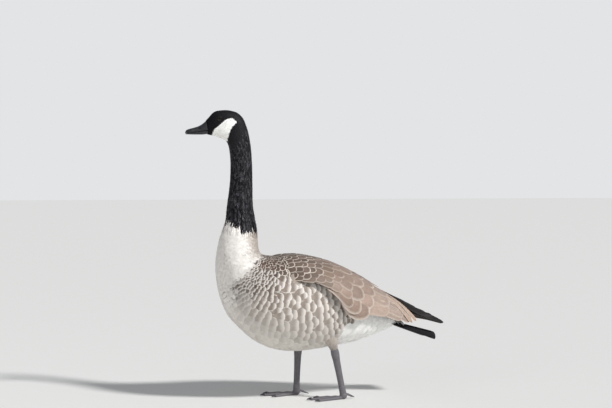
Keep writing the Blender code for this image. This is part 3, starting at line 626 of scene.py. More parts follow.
def limb_rings(stops, count, between=1):
    """Oval rings along a limb. Each stop is a centre and its half sizes, fore and across."""
    centres = np.array([s[0] for s in stops], float)
    sizes = np.array([s[1:] for s in stops], float)
    knots = np.concatenate([[0], np.cumsum(np.linalg.norm(np.diff(centres, axis=0), axis=1))])
    at = np.linspace(0, knots[-1], (len(stops) - 1) * between + 1)
    line, size = smooth(knots, centres, at), smooth(knots, sizes, at)
    way = unit(np.gradient(line, axis=0))
    level = unit(np.cross(way, (0, 1, 0)))
    beside = np.cross(level, way)
    turn = np.linspace(0, 2 * math.pi, count, endpoint=False)
    fore = level[:, None] * (size[:, :1, None] * np.cos(turn)[None, :, None])
    wide = beside[:, None] * (size[:, 1:, None] * np.sin(turn)[None, :, None])
    return line[:, None] + fore + wide, at


def thigh_stops(leg, inset=0.0):
    """The thigh from inside the body down to just above the ankle."""
    hip, ankle = np.array(leg["thigh"], float), np.array(leg["ankle"], float)
    knee = ankle + (hip - ankle) * KNEE_RISE
    stops = []
    for share, fore, wide in THIGH_SECTIONS:
        stops.append((tuple(hip + (knee - hip) * share), fore - inset, wide - inset))
    return stops


# %% One skin
rows = np.linspace(0, KNOTS[-1], 210)
turns = np.linspace(0, 2 * math.pi, 96, endpoint=False)
grid_at, grid_turn = np.meshgrid(rows, turns, indexing="ij")
inner_depth = np.interp(grid_at, ALONG, depths)[..., None]
outer_grid = body.read(body.points, grid_at, grid_turn)
skin_grid = outer_grid - body.read(body.normal, grid_at, grid_turn) * inner_depth
skin = lofted("goose_skin", skin_grid, skin_material)
for side_name, leg in LEGS.items():
    thigh_rings, _ = limb_rings(thigh_stops(leg, 2.2), 32, 6)
    thigh = lofted("thigh_skin_" + side_name, thigh_rings, skin_material)
    join = skin.modifiers.new("join", "BOOLEAN")
    join.operation, join.solver, join.object = "UNION", "MANIFOLD", thigh
    applied(skin)
    bpy.data.objects.remove(thigh)
skin.data.shade_smooth()
corners = np.empty(len(skin.data.vertices) * 3)
skin.data.vertices.foreach_get("co", corners)
corners = corners.reshape(-1, 3) / MM - SHIFT
skin_colour, _ = plumage_at(corners)
paint(skin.data, "plume", np.concatenate([skin_colour, np.ones((len(corners), 1))], axis=1), "FLOAT_COLOR")
# the skin's own unwrap: how far along and how far round the nearest of a net of places lies
nearest = body.points[::10, ::6].reshape(-1, 3)
spots = np.meshgrid(ALONG[::10] / ALONG[-1], TURNS[::6] / (2 * math.pi), indexing="ij")
spots = np.stack(spots, -1).reshape(-1, 2)
skin_uv = np.concatenate(
    [spots[((part[:, None] - nearest[None]) ** 2).sum(-1).argmin(1)] for part in np.array_split(corners, 60)]
)
bake_map(skin.data, 0.02 + 0.96 * skin_uv)
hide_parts("head", "neck", "torso", "thigh_left", "thigh_right")
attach(skin, "root")
print("skin", len(skin.data.polygons), "faces")

# %% [markdown]
# ## The folded wings' form
# The folded wing is drawn like the body, as one outer form that its feathers follow: at each place
# along the bird, the height of its ridge, its half width and where it is widest, and the angles of
# the wing's upper and lower edge.

# %% Wing form
# x: height of the ridge, half width, height of the widest place, angles of the upper and lower edge
WING_STATIONS = {
    -76: (345, 66, 270, 33, 46),
    -58: (345.5, 84, 262, 22, 62),
    -20: (347.5, 101, 255, 14, 66),
    30: (340, 107, 250, 9, 68),
    80: (325, 106, 240, 7, 84),
    107: (313, 102, 228, 6, 101),
    150: (291, 91, 212, 6, 92),
    190: (266, 74, 204, 7, 88),
    226: (247, 57, 196, 8, 91),
    260: (231, 42, 187, 10, 100),
    300: (211, 28, 180, 14, 108),
    335: (199, 17, 177, 20, 108),
    364: (187, 9, 177, 28, 96),
}
WING_X = np.array(list(WING_STATIONS), float)
WING_VALUES = np.array(list(WING_STATIONS.values()), float)


def wing_form(x, degrees, side):
    """Points of the folded wing's outer form."""
    ridge, half, middle = np.moveaxis(smooth(WING_X, WING_VALUES, x), -1, 0)[:3]
    turn = np.radians(degrees)
    return np.stack([x + 0 * turn, side * half * np.sin(turn), middle + (ridge - middle) * np.cos(turn)], -1)


def wing_degrees(x, share):
    """The angle at a share of the way from the wing's upper edge to its lower one."""
    first, last = np.moveaxis(smooth(WING_X, WING_VALUES, x), -1, 0)[3:5]
    return first + (last - first) * share


def wing_arc(x):
    """The length of the wing's section from edge to edge."""
    ridge, half, middle, first, last = np.moveaxis(smooth(WING_X, WING_VALUES, x), -1, 0)
    return np.radians(last - first) * (half + ridge - middle) / 2


def wing_out(x, degrees, side):
    """The outward direction of the wing's form."""
    along = wing_form(x + 1, degrees, side) - wing_form(x - 1, degrees, side)
    around = wing_form(x, degrees + 1, side) - wing_form(x, degrees - 1, side)
    return unit(np.cross(along, around)) * side


def wing_place(points):
    """Where points lie on the wing's form.

    Gives the angle round it, the degrees past its upper and before its lower edge, how far out they
    are (1 is on the form) and the half width there.
    """
    x, y, z = np.moveaxis(points, -1, 0)
    here = smooth(WING_X, WING_VALUES, np.clip(x, WING_X[0], WING_X[-1]))
    ridge, half, middle, first, last = np.moveaxis(here, -1, 0)
    sine, cosine = np.abs(y) / half, (z - middle) / (ridge - middle)
    turn = np.degrees(np.arctan2(sine, cosine))
    return turn, turn - first, last - turn, np.hypot(sine, cosine), half


def under_wing(points):
    """Which places on the body the folded wings hide for good."""
    _, past_upper, before_lower, _, _ = wing_place(points)
    return (points[..., 0] > -60) & (past_upper > 6) & (before_lower > 3)


def ride_over(points, clearance):
    """Lifts points of the front coat out of the wing's form, so that it laps over the wing's edge."""
    x, y, z = np.moveaxis(points, -1, 0)
    turn, past_upper, before_lower, out, half = wing_place(points)
    weight = step(-6, 3, past_upper) * step(-6, 3, before_lower) * step(-90, -74, x) * (1 - step(-42, -16, x))
    goal = np.maximum(out, 1 + clearance / half)
    near = np.clip(x, WING_X[0], WING_X[-1])
    lifted = wing_form(near, turn, np.sign(y))
    centre = smooth(WING_X, WING_VALUES, near)[..., 2]
    lifted = np.stack([x, lifted[..., 1] * goal, centre + (lifted[..., 2] - centre) * goal], -1)
    return points + (lifted - points) * weight[..., None]


# %% [markdown]
# ## Sowing feathers
# Feathers grow in rows that run round the body, each row set between the feathers of the last. Where
# the body bends and rows crowd together, some are left out, so that the spacing stays that of the
# bird. On the head and neck the feathers are too small for rows to show, so they are sown at random
# with a least distance.

# %% Rows and random sowing
def thin_out(points, gaps):
    """Keeps each point only if no kept one is nearer than its gap."""
    cell = float(np.max(gaps))
    kept, taken = [], {}
    for i, (point, gap) in enumerate(zip(points, gaps)):
        key = tuple((point // cell).astype(int))
        near = (
            j
            for dx in (-1, 0, 1)
            for dy in (-1, 0, 1)
            for dz in (-1, 0, 1)
            for j in taken.get((key[0] + dx, key[1] + dy, key[2] + dz), ())
        )
        if all(((points[j] - point) ** 2).sum() > gap * gap for j in near):
            kept.append(i)
            taken.setdefault(key, []).append(i)
    return np.array(kept, int)


def sow_rows(surface, first, last, spacing, lean=lambda at: 0.0, wide=1.25):
    """Staggered rows between two places along a surface, and the way that each feather points.

    spacing(at) is the distance between rows in mm, lean(at) how far a row's lower end trails its middle.
    """
    at, turn, slant, number = [], [], [], 0
    here = first
    around = np.linspace(0, 2 * math.pi, 181)
    while here < last:
        gap, lag = spacing(here), lean(here)
        sway = 0.22 * gap * np.sin(7 * around + here / 17) + 0.12 * gap * np.sin(17 * around - here / 11)
        row = np.clip(here - lag * np.cos(around) + sway, surface.along[0], surface.along[-1])
        line = surface.read(surface.points, row, around)
        length = np.concatenate([[0], np.cumsum(np.linalg.norm(np.diff(line, axis=0), axis=1))])
        count = max(int(length[-1] / (gap * wide)), 6)
        marks = (np.arange(count) + 0.5 * (number % 2) + rng.uniform(-0.1, 0.1, count)) / count * length[-1]
        turns_here = np.interp(np.mod(marks, length[-1]), length, around)
        at += list(np.interp(turns_here, around, row) + rng.uniform(-0.08, 0.08, count) * gap)
        turn += list(turns_here)
        slant += list(lag * np.sin(turns_here))
        speed = np.linalg.norm(surface.read(surface.down, row, around), axis=-1)
        here += gap / np.percentile(speed, 60)
        number += 1
    at, turn, slant = np.array(at), np.array(turn), np.array(slant)
    keep = (at > surface.along[0]) & (at < surface.along[-1])
    at, turn, slant = at[keep], turn[keep], slant[keep]
    keep = thin_out(surface.read(surface.points, at, turn), np.array([spacing(a) for a in at]) * 0.8)
    at, turn, slant = at[keep], turn[keep], slant[keep]
    down = surface.read(surface.down, at, turn)
    along_row = down * slant[:, None] + surface.read(surface.round, at, turn)
    way = unit(np.cross(surface.read(surface.normal, at, turn), along_row))
    return at, turn, way * np.sign((way * down).sum(-1))[:, None]


def sow_random(surface, first, last, spacing, tries):
    """Random places no nearer to each other than spacing(at), in mm."""
    rows_here = (surface.along >= first) & (surface.along <= last)
    area = np.linalg.norm(np.cross(surface.down[rows_here], surface.round[rows_here]), axis=-1)
    cells = rng.choice(area.size, tries, p=area.ravel() / area.sum())
    row, column = np.unravel_index(cells, area.shape)
    start = surface.along[rows_here][0]
    pitch = surface.along[1] - surface.along[0]
    at = np.clip(start + (row + rng.uniform(-0.5, 0.5, tries)) * pitch, first, last)
    turn = (column + rng.uniform(-0.5, 0.5, tries)) * 2 * math.pi / surface.columns
    keep = thin_out(surface.read(surface.points, at, turn), np.vectorize(spacing)(at))
    return at[keep], turn[keep]


# %% Laying feathers on a surface
LIFT = 3.2  # how soon a feather rises from its root's depth to its tip's height
WING_LAP_X = -50  # how far back the tips may reach that lap over the wing's fore edge


def lie_on(surface, at, turn, way, length, rise, sink, shares):
    """Centre lines and upward directions of feathers that start each in its own way along a surface."""
    down, around = surface.read(surface.down, at, turn), surface.read(surface.round, at, turn)
    a, b, c = (down**2).sum(-1), (down * around).sum(-1), (around**2).sum(-1)
    p, q = (way * down).sum(-1), (way * around).sum(-1)
    whole = np.maximum(a * c - b * b, 0.02 * a * c + 1e-6)
    ahead, aside = (p * c - q * b) / whole, (q * a - p * b) / whole
    walk = length[:, None] * shares
    rows_at = np.minimum(at[:, None] + np.clip(ahead, -6, 6)[:, None] * walk, surface.along[-1])
    rows_turn = turn[:, None] + aside[:, None] * walk
    base = surface.read(surface.points, rows_at, rows_turn)
    up = surface.read(surface.normal, rows_at, rows_turn)
    depth = np.interp(rows_at, surface.along, surface.depth)
    height = -sink + (rise[:, None] + sink) * (1 - (1 - shares) ** LIFT)
    return base + up * (height - depth)[..., None], up


def body_feathers(
    name, at, turn, way, length, width, material, rows, columns, rise, stray=0.1, surface=body, **more
):
    """A coat piece on a surface, coloured by where the part of each feather that shows lies.

    rows counts the vane's stations before and in the round tip, columns those across it. rise is the
    tip's height over the skin and stray how far, in radians, feathers turn out of the coat's lie. A
    clearance keeps them over the wing's form. What else is given goes to feathers().
    """
    count, vary = len(at), more.pop("vary", 0.1)
    length = length * rng.uniform(1 - vary, 1 + vary, count)
    width = width * rng.uniform(0.92, 1.08, count)
    rise = rise + rng.uniform(-0.06, 0.06, count)
    normal = surface.read(surface.normal, at, turn)
    turned = rng.normal(0, stray, count)[:, None]
    way = way * np.cos(turned) + np.cross(normal, way) * np.sin(turned)
    clearance = more.pop("clearance", None)
    if clearance is not None:
        roots = surface.read(surface.points, at, turn)
        _, past_upper, before_lower, _, _ = wing_place(roots + way * length[:, None])
        room = (WING_LAP_X + rng.uniform(-5, 5, count) - roots[:, 0]) / np.maximum(way[:, 0], 0.2)
        over = (past_upper > -2) & (before_lower > -1) & (room > 0)
        length = np.where(over, np.minimum(length, np.maximum(room, 9)), length)
    shares, halves = feather_rows(length, width / 2, rows[0], rows[1], more.pop("square", 2.0))
    lines, ups = lie_on(surface, at, turn, way, length, rise, 0.5, shares)
    if clearance is not None:
        lines = ride_over(lines, clearance * shares)
    colour, fringe = plumage_at(lines[:, -2], 1.0)
    # scales the pale edge; on the black feathers that edge is painted highlight
    fringe = fringe * more.pop("streaks", 1.0)
    colour, fringe = more.pop("colour", colour), more.pop("fringe", fringe)
    girth = np.maximum(np.linalg.norm(surface.read(surface.round, at, turn), axis=-1), 4)
    uv = np.stack([0.02 + 0.95 * at / surface.along[-1], 0.01 + 0.97 * np.mod(turn / (2 * math.pi), 1)], -1)
    piece = feathers(
        name, lines, ups, halves, material, colour, fringe, uv, columns=columns, droop=0.5 / girth, **more
    )
    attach(piece, "root")
    return piece


def downstream(surface, at, turn):
    """The way along the surface, as the coat lies."""
    return unit(surface.read(surface.down, at, turn))


# %% [markdown]
# ## The head and neck
# The smallest feathers sit round the bill and eyes, about 4 mm long. They grow longer down the
# neck, where they are narrow and lie in soft furrows. The eye and the bill stay clear.

# %% Head and neck coat
eye_centres = {}
for side_name in ("left", "right"):
    low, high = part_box("eye_" + side_name)
    eye_centres[side_name] = (np.array(low) + np.array(high)) / 2 / MM - SHIFT
EYE_RADIUS = (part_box("eye_left")[1][2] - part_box("eye_left")[0][2]) / 2 / MM
print("eyes at", {k: v.round(1) for k, v in eye_centres.items()}, "radius", round(EYE_RADIUS, 2))


def clear_of_eyes(points, reach):
    """Which points are further from both eyes than reach."""
    return np.all([np.linalg.norm(points - c, axis=-1) > reach for c in eye_centres.values()], axis=0)


def plant(name, at, turn, length, width, rise, **more):
    """Black coat of head or neck, as one piece. Feathers in front of an eye stop short of it."""
    way = downstream(body, at, turn)
    spots = body.read(body.points, at, turn)
    for centre in eye_centres.values():
        gap = centre - spots
        ahead = (way * gap).sum(-1)
        miss = np.sqrt(np.maximum((gap**2).sum(-1) - ahead**2, 0))
        room = ahead - np.sqrt(np.maximum(EYE_RADIUS**2 - miss**2, 0)) + 0.3
        length = np.where((ahead > 0) & (miss < EYE_RADIUS), np.minimum(length, np.maximum(room, 1.2)), length)
    piece = body_feathers(name, at, turn, way, length, width, BLACK_FEATHER, (2, 3), 3, rise, **more)


SMALL = {"tuck": 0.03, "thick": 0.05, "ridge": 0.03, "square": 1.3, "soft": 0.75}
head_end = place("throat")
head_at, head_turn = sow_random(body, 0.3, head_end, lambda a: 0.8 + 0.6 * a / head_end, 160000)
keep = clear_of_eyes(body.read(body.points, head_at, head_turn), EYE_RADIUS + 0.2)
head_at, head_turn = head_at[keep], head_turn[keep]
share = head_at / head_end
for part, chosen in (("face", share < 0.42), ("crown", share >= 0.42)):
    s = share[chosen]
    size = (3.2 + 5.6 * s, 1.35 + 0.95 * s, 0.35 + 1.3 * s)
    # the black feathers' pale edges are painted highlight, stronger further back on the head
    plant("coat_" + part, head_at[chosen], head_turn[chosen], *size, stray=0.1, streaks=0.1 + 0.4 * s, **SMALL)
neck_first, neck_last = head_end - 5, place("sock") + 10
neck_at, neck_turn = sow_random(
    body, neck_first, neck_last, lambda a: 1.45 + 0.75 * (a - neck_first) / 200, 120000
)
share = (neck_at - neck_first) / (neck_last - neck_first)
furrow = 0.5 + 0.5 * np.sin(neck_turn * 22 + 1.5 * np.sin(neck_at / 17) + neck_at / 26)
for part, chosen in (("upper", share < 0.45), ("lower", share >= 0.45)):
    s = share[chosen]
    rise = 1.2 + 1.3 * s + (0.6 + 1.4 * s) * furrow[chosen]
    # painted highlight on the black neck: pale edges strongest on the furrows' crests, where light glints
    pale = (0.4 + furrow[chosen]) ** 2 * rng.exponential(0.55, chosen.sum())
    own = {"streaks": np.minimum(0.1 + pale, 3.0), "stray": 0.15, **SMALL}
    plant("coat_neck_" + part, neck_at[chosen], neck_turn[chosen], 9.5 + 6.5 * s, 2.2 + 1.1 * s, rise, **own)

# %% [markdown]
# ## The body's coat
# Breast feathers are short and soft, the flanks' are broad with pale tips, and the vent's are long
# and downy. Rows of them cross the body, so the pale tips of one row line up into the bars that
# mark a goose's side.

# %% Breast, flanks, belly and vent
# at named stations, in mm: how far apart the rows are, and how far a row's lower end trails
SPACING = {
    "sock": 3.0, "neck_foot": 3.8, "breast_top": 4.8, "breast_low": 6.4, "keel_front": 10.2, "keel": 14.4,
    "belly_rear": 15.4, "loin": 12.6, "vent": 7.6, "undertail": 6.4, "rump_end": 4.6,
}
LEAN = {
    "breast": 0, "breast_low": 10, "keel_front": 32, "belly_front": 58, "belly_rear": 60, "loin": 44,
    "undertail": 0,
}
BROAD_GAP = 7.4  # rows further apart than this carry broad feathers


def named(values):
    """Values between named stations, for any place along the body."""
    knots, sizes = [place(n) for n in values], list(values.values())
    return lambda at: np.interp(at, knots, sizes)


body_spacing, body_lean = named(SPACING), named(LEAN)
torso_at, torso_turn, torso_way = sow_rows(
    body, place("sock") - 4, place("rump_end") - 4, body_spacing, body_lean, 1.35
)
roots = body.read(body.points, torso_at, torso_turn)
keep = ~under_wing(roots)
torso_at, torso_turn, torso_way, roots = torso_at[keep], torso_turn[keep], torso_way[keep], roots[keep]
gap = body_spacing(torso_at)
mantle = on_mantle(roots + torso_way * gap[:, None] * 2) > 0.4
broad = gap > BROAD_GAP
flank = broad & (roots[:, 2] > 135) & (torso_at < place("loin") + 8) & ~mantle
early, top = torso_at < place("keel"), torso_at < place("breast_top")
# flank feathers end broad and nearly square, which makes the pale bars
flank_form = {"sides": 12.0, "square": 2.8, "vary": 0.02, "fray": 0.016, "breadth": 1.6}
parts = (
    ("coat_mantle", mantle, COVERT_VANE, (4, 5), 7, {"sides": 1.4, "soft": 0.5, "fray": 0.01}),
    ("coat_breast_upper", top & ~mantle, DOWN_FEATHER, (3, 3), 5, {"sides": 1.6}),
    ("coat_breast", ~top & ~broad & early & ~mantle, BARRED_FEATHER, (3, 4), 7, {"sides": 3.0}),
    ("coat_flank", flank, BARRED_FEATHER, (3, 5), 11, flank_form),
    ("coat_belly", broad & ~flank & ~mantle, DOWN_FEATHER, (3, 4), 9, {"square": 2.2}),
    ("coat_vent", ~broad & ~early & ~mantle, DOWN_FEATHER, (3, 4), 7, {}),
)
for name, chosen, material, rows, columns, own in parts:
    rise = np.interp(torso_at[chosen], ALONG, depths) * 0.95
    rise *= 0.45 + 0.55 * step(place("sock") - 4, place("sock") + 24, torso_at[chosen])
    size = (gap[chosen] * 3.1, gap[chosen] * 1.35 * own.pop("breadth", 1.5))
    form = {"fray": 0.02, "tuck": 0.03 * gap[chosen].mean(), "thick": 0.1, "soft": 0.8, **own}
    where = (torso_at[chosen], torso_turn[chosen], torso_way[chosen])
    piece = body_feathers(name, *where, *size, material, rows, columns, rise, 0.09, clearance=1.2, **form)

# %% [markdown]
# ## The thighs
# A thigh shows only as a short feathered cone above the bare ankle, with short soft feathers that
# hang over the joint. The body's rows run past the leg, so the cone has a surface and rows of its
# own, and it darkens towards the ankle.

# %% Thighs
for side_name, leg in LEGS.items():
    rings, at = limb_rings(thigh_stops(leg), 64, 12)
    thigh_surface = Surface(rings, at, np.full(len(at), 2.0))
    thigh_at, thigh_turn, way = sow_rows(thigh_surface, at[-1] * 0.3, at[-1] - 1, lambda a: 2.8)
    lower = step(at[-1] * 0.5, at[-1] * 0.95, thigh_at)[:, None]
    tint = SHADES["thigh"] * (1 - 0.45 * lower) * rng.uniform(0.85, 1.15, (len(thigh_at), 1))
    count = len(thigh_at)
    sizes = (13.0, 5.4, DOWN_FEATHER, (3, 3), 5, np.full(count, 2.0), 0.2)
    form = {"colour": tint, "fringe": np.full(count, 0.1), "tuck": 0.1, "soft": 0.85}
    piece = body_feathers("coat_thigh_" + side_name, thigh_at, thigh_turn, way, *sizes, thigh_surface, **form)

# %% [markdown]
# ## The wings
# Tier over tier: small scapulars and coverts at the shoulder, then larger ones with wide smooth
# webs. The upper part of the wing's end is bare of them: there the black primaries show, and two
# long tertials lie slantwise over them as pale strips. Every vane starts deep and rises along its
# length, so each tier slides clear of the next one under it.

# %% Wing tiers
# x of tips and roots, how many, shares of the height, depth at root and tip, sweep, colour, how pale the edge
WING_TIERS = (
    (-58, -76, 5, 0.0, 0.94, 4.0, 1.0, 0, "#625349", 1.0),
    (-44, -72, 6, 0.0, 0.95, 4.2, 0.9, -2, "#66564c", 1.0),
    (-28, -64, 5, 0.0, 0.97, 4.4, 0.8, -3, "#6a5a50", 1.0),
    (-12, -54, 6, 0.0, 1.0, 4.5, 0.7, -5, "#6f5f54", 1.0),
    (5, -42, 5, 0.0, 1.0, 4.6, 0.6, -7, "#756359", 0.95),
    (23, -28, 6, 0.0, 1.0, 4.8, 0.6, -9, "#7b695d", 0.85),
    (42, -12, 5, 0.0, 1.0, 5.0, 0.5, -12, "#837064", 0.7),
    (63, 4, 6, 0.0, 1.0, 5.2, 0.4, -15, "#8b7769", 0.6),
    (86, 22, 5, 0.0, 1.0, 5.4, 0.3, -20, "#927d70", 0.55),
    (110, 40, 5, 0.0, 1.0, 5.8, 0.2, -28, "#978275", 0.5),
    (137, 58, 4, 0.0, 1.0, 6.4, 0.3, -34, "#9a8578", 0.6),
    (166, 80, 4, 0.0, 1.0, 7.4, 0.5, -36, "#a58f82", 0.7),
    (206, 98, 3, 0.16, 1.0, 9.0, 1.3, -10, "#ab978a", 0.4),
    (244, 122, 3, 0.36, 1.0, 11.0, 2.2, 6, "#ae9b8f", 0.5),
    (268, 144, 2, 0.56, 0.97, 12.8, 3.2, 6, "#a79387", 0.7),
)
# single long vanes: x of root and tip, share of the height at both, depth at both, half width
LONG_TERTIALS = ((126, 284, 0.0, 0.86, 7.0, 0.3, 4.9), (118, 273, 0.13, 0.97, 8.0, 0.7, 5.2))
UPPER_PRIMARIES = ((112, 262, 0.02, 0.10, 9.0, 1.6, 8.0), (122, 292, 0.10, 0.16, 9.6, 1.9, 8.0))
UPPER_PRIMARIES += ((130, 316, 0.2, 0.26, 10.2, 2.2, 7.6), (136, 334, 0.34, 0.4, 10.8, 2.5, 7.2))
# x: how far out and how high the folded primaries lie there, and their tilt in degrees
PRIMARY_LINE = {
    140: (77, 230, 66),
    165: (64, 225, 62),
    200: (48, 218, 56),
    250: (30, 207, 50),
    300: (18, 197, 45),
    335: (12.5, 189, 42),
    366: (9.5, 179, 40),
}
PRIMARY_ROOT, PRIMARY_TIPS = 152, (298, 311, 324, 336, 347, 356, 364)
PRIMARY_STEP = (1.0, 0.9)  # how much deeper and further out each one lies than the one before, in mm
DIVE = 2.2  # how soon a wing's vane rises from its deep root to its shallow tip


def wing_tiers(side):
    """Centre lines, directions, half widths, colours and edges of a wing's covering feathers."""
    plan = []
    for number, (tip_x, root_x, count, high, low, deep, shallow, sweep, code, edge) in enumerate(WING_TIERS):
        places = (np.arange(count) + 0.5) / count
        if number % 2:
            places = np.concatenate([[0.25 / count], np.arange(1, count) / count, [1 - 0.25 / count]])
        for place_ in places:
            share = high + (low - high) * (place_ + rng.normal(0, 0.012))
            tip = tip_x + sweep * (place_ - 0.5) + rng.uniform(-4, 4)
            half = wing_arc(tip - 0.35 * (tip - root_x)) * (low - high) / count * rng.uniform(0.6, 0.68)
            tone = hex_colour(code) * rng.uniform(0.76, 1.12)
            half = np.clip(half, 6, 23)
            plan.append((root_x, tip, share, deep, shallow, half, *tone, edge * rng.uniform(0.45, 1.0)))
    plan = np.array(plan)
    root, tip, share, deep, shallow, half = [plan[:, i, None] for i in range(6)]
    shares, halves = feather_rows((tip - root)[:, 0], half[:, 0], 6, 6, 2.2, 0.7)
    x = root + (tip - root) * shares
    degrees = wing_degrees(x, share + rng.normal(0, 0.012, share.shape) * shares)
    up = wing_out(x, degrees, side)
    depth = shallow + (deep - shallow) * (1 - shares) ** DIVE + rng.uniform(-0.08, 0.08, share.shape)
    lines = wing_form(x, degrees, side) - up * depth[..., None]
    spots = np.concatenate([0.03 + 0.9 * (root + 80) / 240, 0.04 + 0.9 * share], axis=1)
    return lines, up, halves, plan[:, 6:9], plan[:, 9], spots


def long_vanes(side, rows):
    """The same for single long vanes that cross the wing's form aslant."""
    root, tip, high, low, deep, shallow, half = np.array(rows, float).T[:, :, None]
    shares, halves = feather_rows((tip - root)[:, 0], half[:, 0], 14, 5, 2.0, 0.8)
    x = root + (tip - root) * shares
    degrees = wing_degrees(x, high + (low - high) * shares**2.2)
    up = wing_out(x, degrees, side)
    depth = shallow + (deep - shallow) * (1 - shares) ** DIVE
    return wing_form(x, degrees, side) - up * depth[..., None], up, halves


def primary_lines(side):
    """The same for the folded primaries, each lying under the shorter one before it."""
    tips = np.array(PRIMARY_TIPS, float)
    k = np.arange(len(tips))[:, None]
    shares, halves = feather_rows(tips - PRIMARY_ROOT, 10 - 0.3 * k[:, 0], 6, 6, 1.7, 0.8)
    x = PRIMARY_ROOT + (tips[:, None] - PRIMARY_ROOT) * shares
    y, z, tilt = np.moveaxis(smooth(list(PRIMARY_LINE), np.array(list(PRIMARY_LINE.values()), float), x), -1, 0)
    turn = np.radians(tilt)
    up = unit(np.stack([0.12 + 0 * turn, side * np.sin(turn), np.cos(turn)], -1))
    outer = np.stack([0 * turn, side * np.cos(turn), -np.sin(turn)], -1)
    deeper, further = PRIMARY_STEP[0] * k, PRIMARY_STEP[1] * (k - 2.4)
    lines = np.stack([x, side * y, z], -1) - up * deeper[..., None] + outer * further[..., None]
    return lines, up, halves


# %% Both wings
def wing_piece(name, side_name, made, material, colours, edges, spots, **form):
    """One joined piece of a wing's vanes, standing for the wing's solid."""
    form = {"patch": 0.02, "soft": 0.3, **form}
    piece = feathers(name + "_" + side_name, *made, material, colours, edges, spots, **form)
    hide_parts("wing_" + side_name)
    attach(piece, "root")


def alike(code, edge, count, along):
    """Colours, edges and map places for a few vanes of one colour."""
    spots = np.stack([np.full(count, along), np.linspace(0.1, 0.8, count)], -1)
    return np.tile(hex_colour(code), (count, 1)), np.full(count, edge), spots


for side, side_name in ((-1, "left"), (1, "right")):
    *made, colours, edges, spots = wing_tiers(side)
    covert_form = {"columns": 11, "droop": 0.5 / 75, "ridge": 0.25, "tuck": 0.3, "thick": 0.3, "fray": 0.01}
    covert_form["roll"] = -side * 0.28
    wing_piece("wing_coverts", side_name, made, COVERT_VANE, colours, edges, spots, **covert_form)
    made = long_vanes(side, LONG_TERTIALS)
    strip_form = {"columns": 7, "ridge": 0.5, "tuck": 0.5, "thick": 0.4, "fray": 0.0, "roll": -side * 0.3}
    wing_piece("long_tertials", side_name, made, COVERT_VANE, *alike("#b9a08d", 0.9, 2, 0.9), **strip_form)
    flight_form = {"columns": 9, "droop": 0.004, "ridge": 0.5, "tuck": 0.3, "thick": 0.4, "fray": 0.006}
    made = primary_lines(side)
    looks = alike("#131110", 0.6, len(made[2]), 0.95)
    wing_piece("primaries", side_name, made, FLIGHT_VANE, *looks, **flight_form)
    made = long_vanes(side, UPPER_PRIMARIES)
    wing_piece("upper_primaries", side_name, made, FLIGHT_VANE, *alike("#1b1716", 0.6, 4, 0.97), **flight_form)

# %% [markdown]
# ## The back between the wings
# The folded wings nearly meet over the spine, and rows of broad feathers close the gap. Three and two
# to a row in turn, they lie on the wings' own form, so that both sides run together smoothly.

# %% Back feathers between the wings
back = []
for number, tip_x in enumerate(range(-46, 208, 17)):
    for offset in ((-11.5, 0.0, 11.5), (-6.0, 6.0))[number % 2]:
        tip = tip_x + rng.uniform(-5, 5)
        back.append((max(-74, tip_x - 52), tip, offset + rng.uniform(-3, 3), rng.uniform(0.85, 1.1)))
root, tip, offset, tone = np.array(back).T[:, :, None]
shares, halves = feather_rows((tip - root)[:, 0], rng.uniform(9.5, 11.5, len(root)), 5, 5, 2.1, 0.7)
x = root + (tip - root) * shares
radius = smooth(WING_X, WING_VALUES, x)[..., 1]
degrees = np.degrees(np.arcsin(np.clip(offset / radius, -0.9, 0.9)))
up = wing_out(x, degrees, 1)
lines = wing_form(x, degrees, 1) - up * (-0.5 + 5.5 * (1 - shares) ** DIVE)[..., None]
tints = [hex_colour(code) for code in ("#5d4d43", "#715e52", "#877264", "#8c7667")]
colours = [np.interp(tip[:, 0], (0, 60, 120, 200), channel) for channel in np.transpose(tints)]
colours = np.stack(colours, -1) * tone
spots = np.stack([0.05 + 0.9 * (root[:, 0] + 60) / 260, np.full(len(root), 0.97)], -1)
form = {"columns": 9, "droop": 0.006, "ridge": 0.25, "tuck": 0.3, "thick": 0.3, "fray": 0.01, "soft": 0.4}
edges = rng.uniform(0.3, 0.8, len(root))
back = feathers("coat_back", lines, up, halves, COVERT_VANE, colours, edges, spots, **form)
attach(back, "root")

# %% [markdown]
# ## The tail
# The tail is a short fan of black feathers, the middle pair on top. Soft coverts cover its root
# above and below.

# %% Tail feathers
TAIL_ROOT, TAIL_TIP = (204, 186), (341, 149)
TAIL_ROOT_HALF, TAIL_TIP_HALF = 14, 39
TAIL_PAIRS, TAIL_STEP, TAIL_ROUNDING, TAIL_LEAN = 8, 1.65, 11.0, 0.24


def tail_point(share, across):
    """A point on the tail's upper face."""
    (root_x, root_z), (tip_x, tip_z) = TAIL_ROOT, TAIL_TIP
    half = TAIL_ROOT_HALF + (TAIL_TIP_HALF - TAIL_ROOT_HALF) * share
    drop = TAIL_STEP * TAIL_PAIRS * abs(across) * (0.25 + 0.75 * share)
    x = root_x + (tip_x - root_x) * share - TAIL_ROUNDING * across**2 * share
    return np.stack([x, half * across, root_z + (tip_z - root_z) * share - drop], -1)


across = np.array([side * (pair + 0.5) / TAIL_PAIRS for pair in range(TAIL_PAIRS) for side in (-1, 1)])
count = len(across)
shares, halves = feather_rows(np.full(count, 125.0), 9.0, 6, 6, 2.6, 0.7)
lines = tail_point(0.1 + 0.9 * shares, across[:, None])
lines[across > 0, :, 2] -= TAIL_STEP / 2
# each vane leans outwards, so that its outer edge rests on the next one
leaning = TAIL_LEAN * np.sign(across)
ups = np.broadcast_to(unit(np.stack([0.26 + 0 * across, leaning, 1 + 0 * across], -1))[:, None], lines.shape)
spots = np.stack([np.full(count, 0.9), np.linspace(0.05, 0.9, count)], -1)
black = np.tile(hex_colour("#0e0d12"), (count, 1))
form = {"patch": 0.02, "columns": 9, "ridge": 0.5, "tuck": 0.3, "thick": 0.35, "fray": 0.008}
tail = feathers("tail_feathers", lines, ups, halves, FLIGHT_VANE, black, np.full(count, 0.1), spots, **form)
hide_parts("tail")
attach(tail, "root")

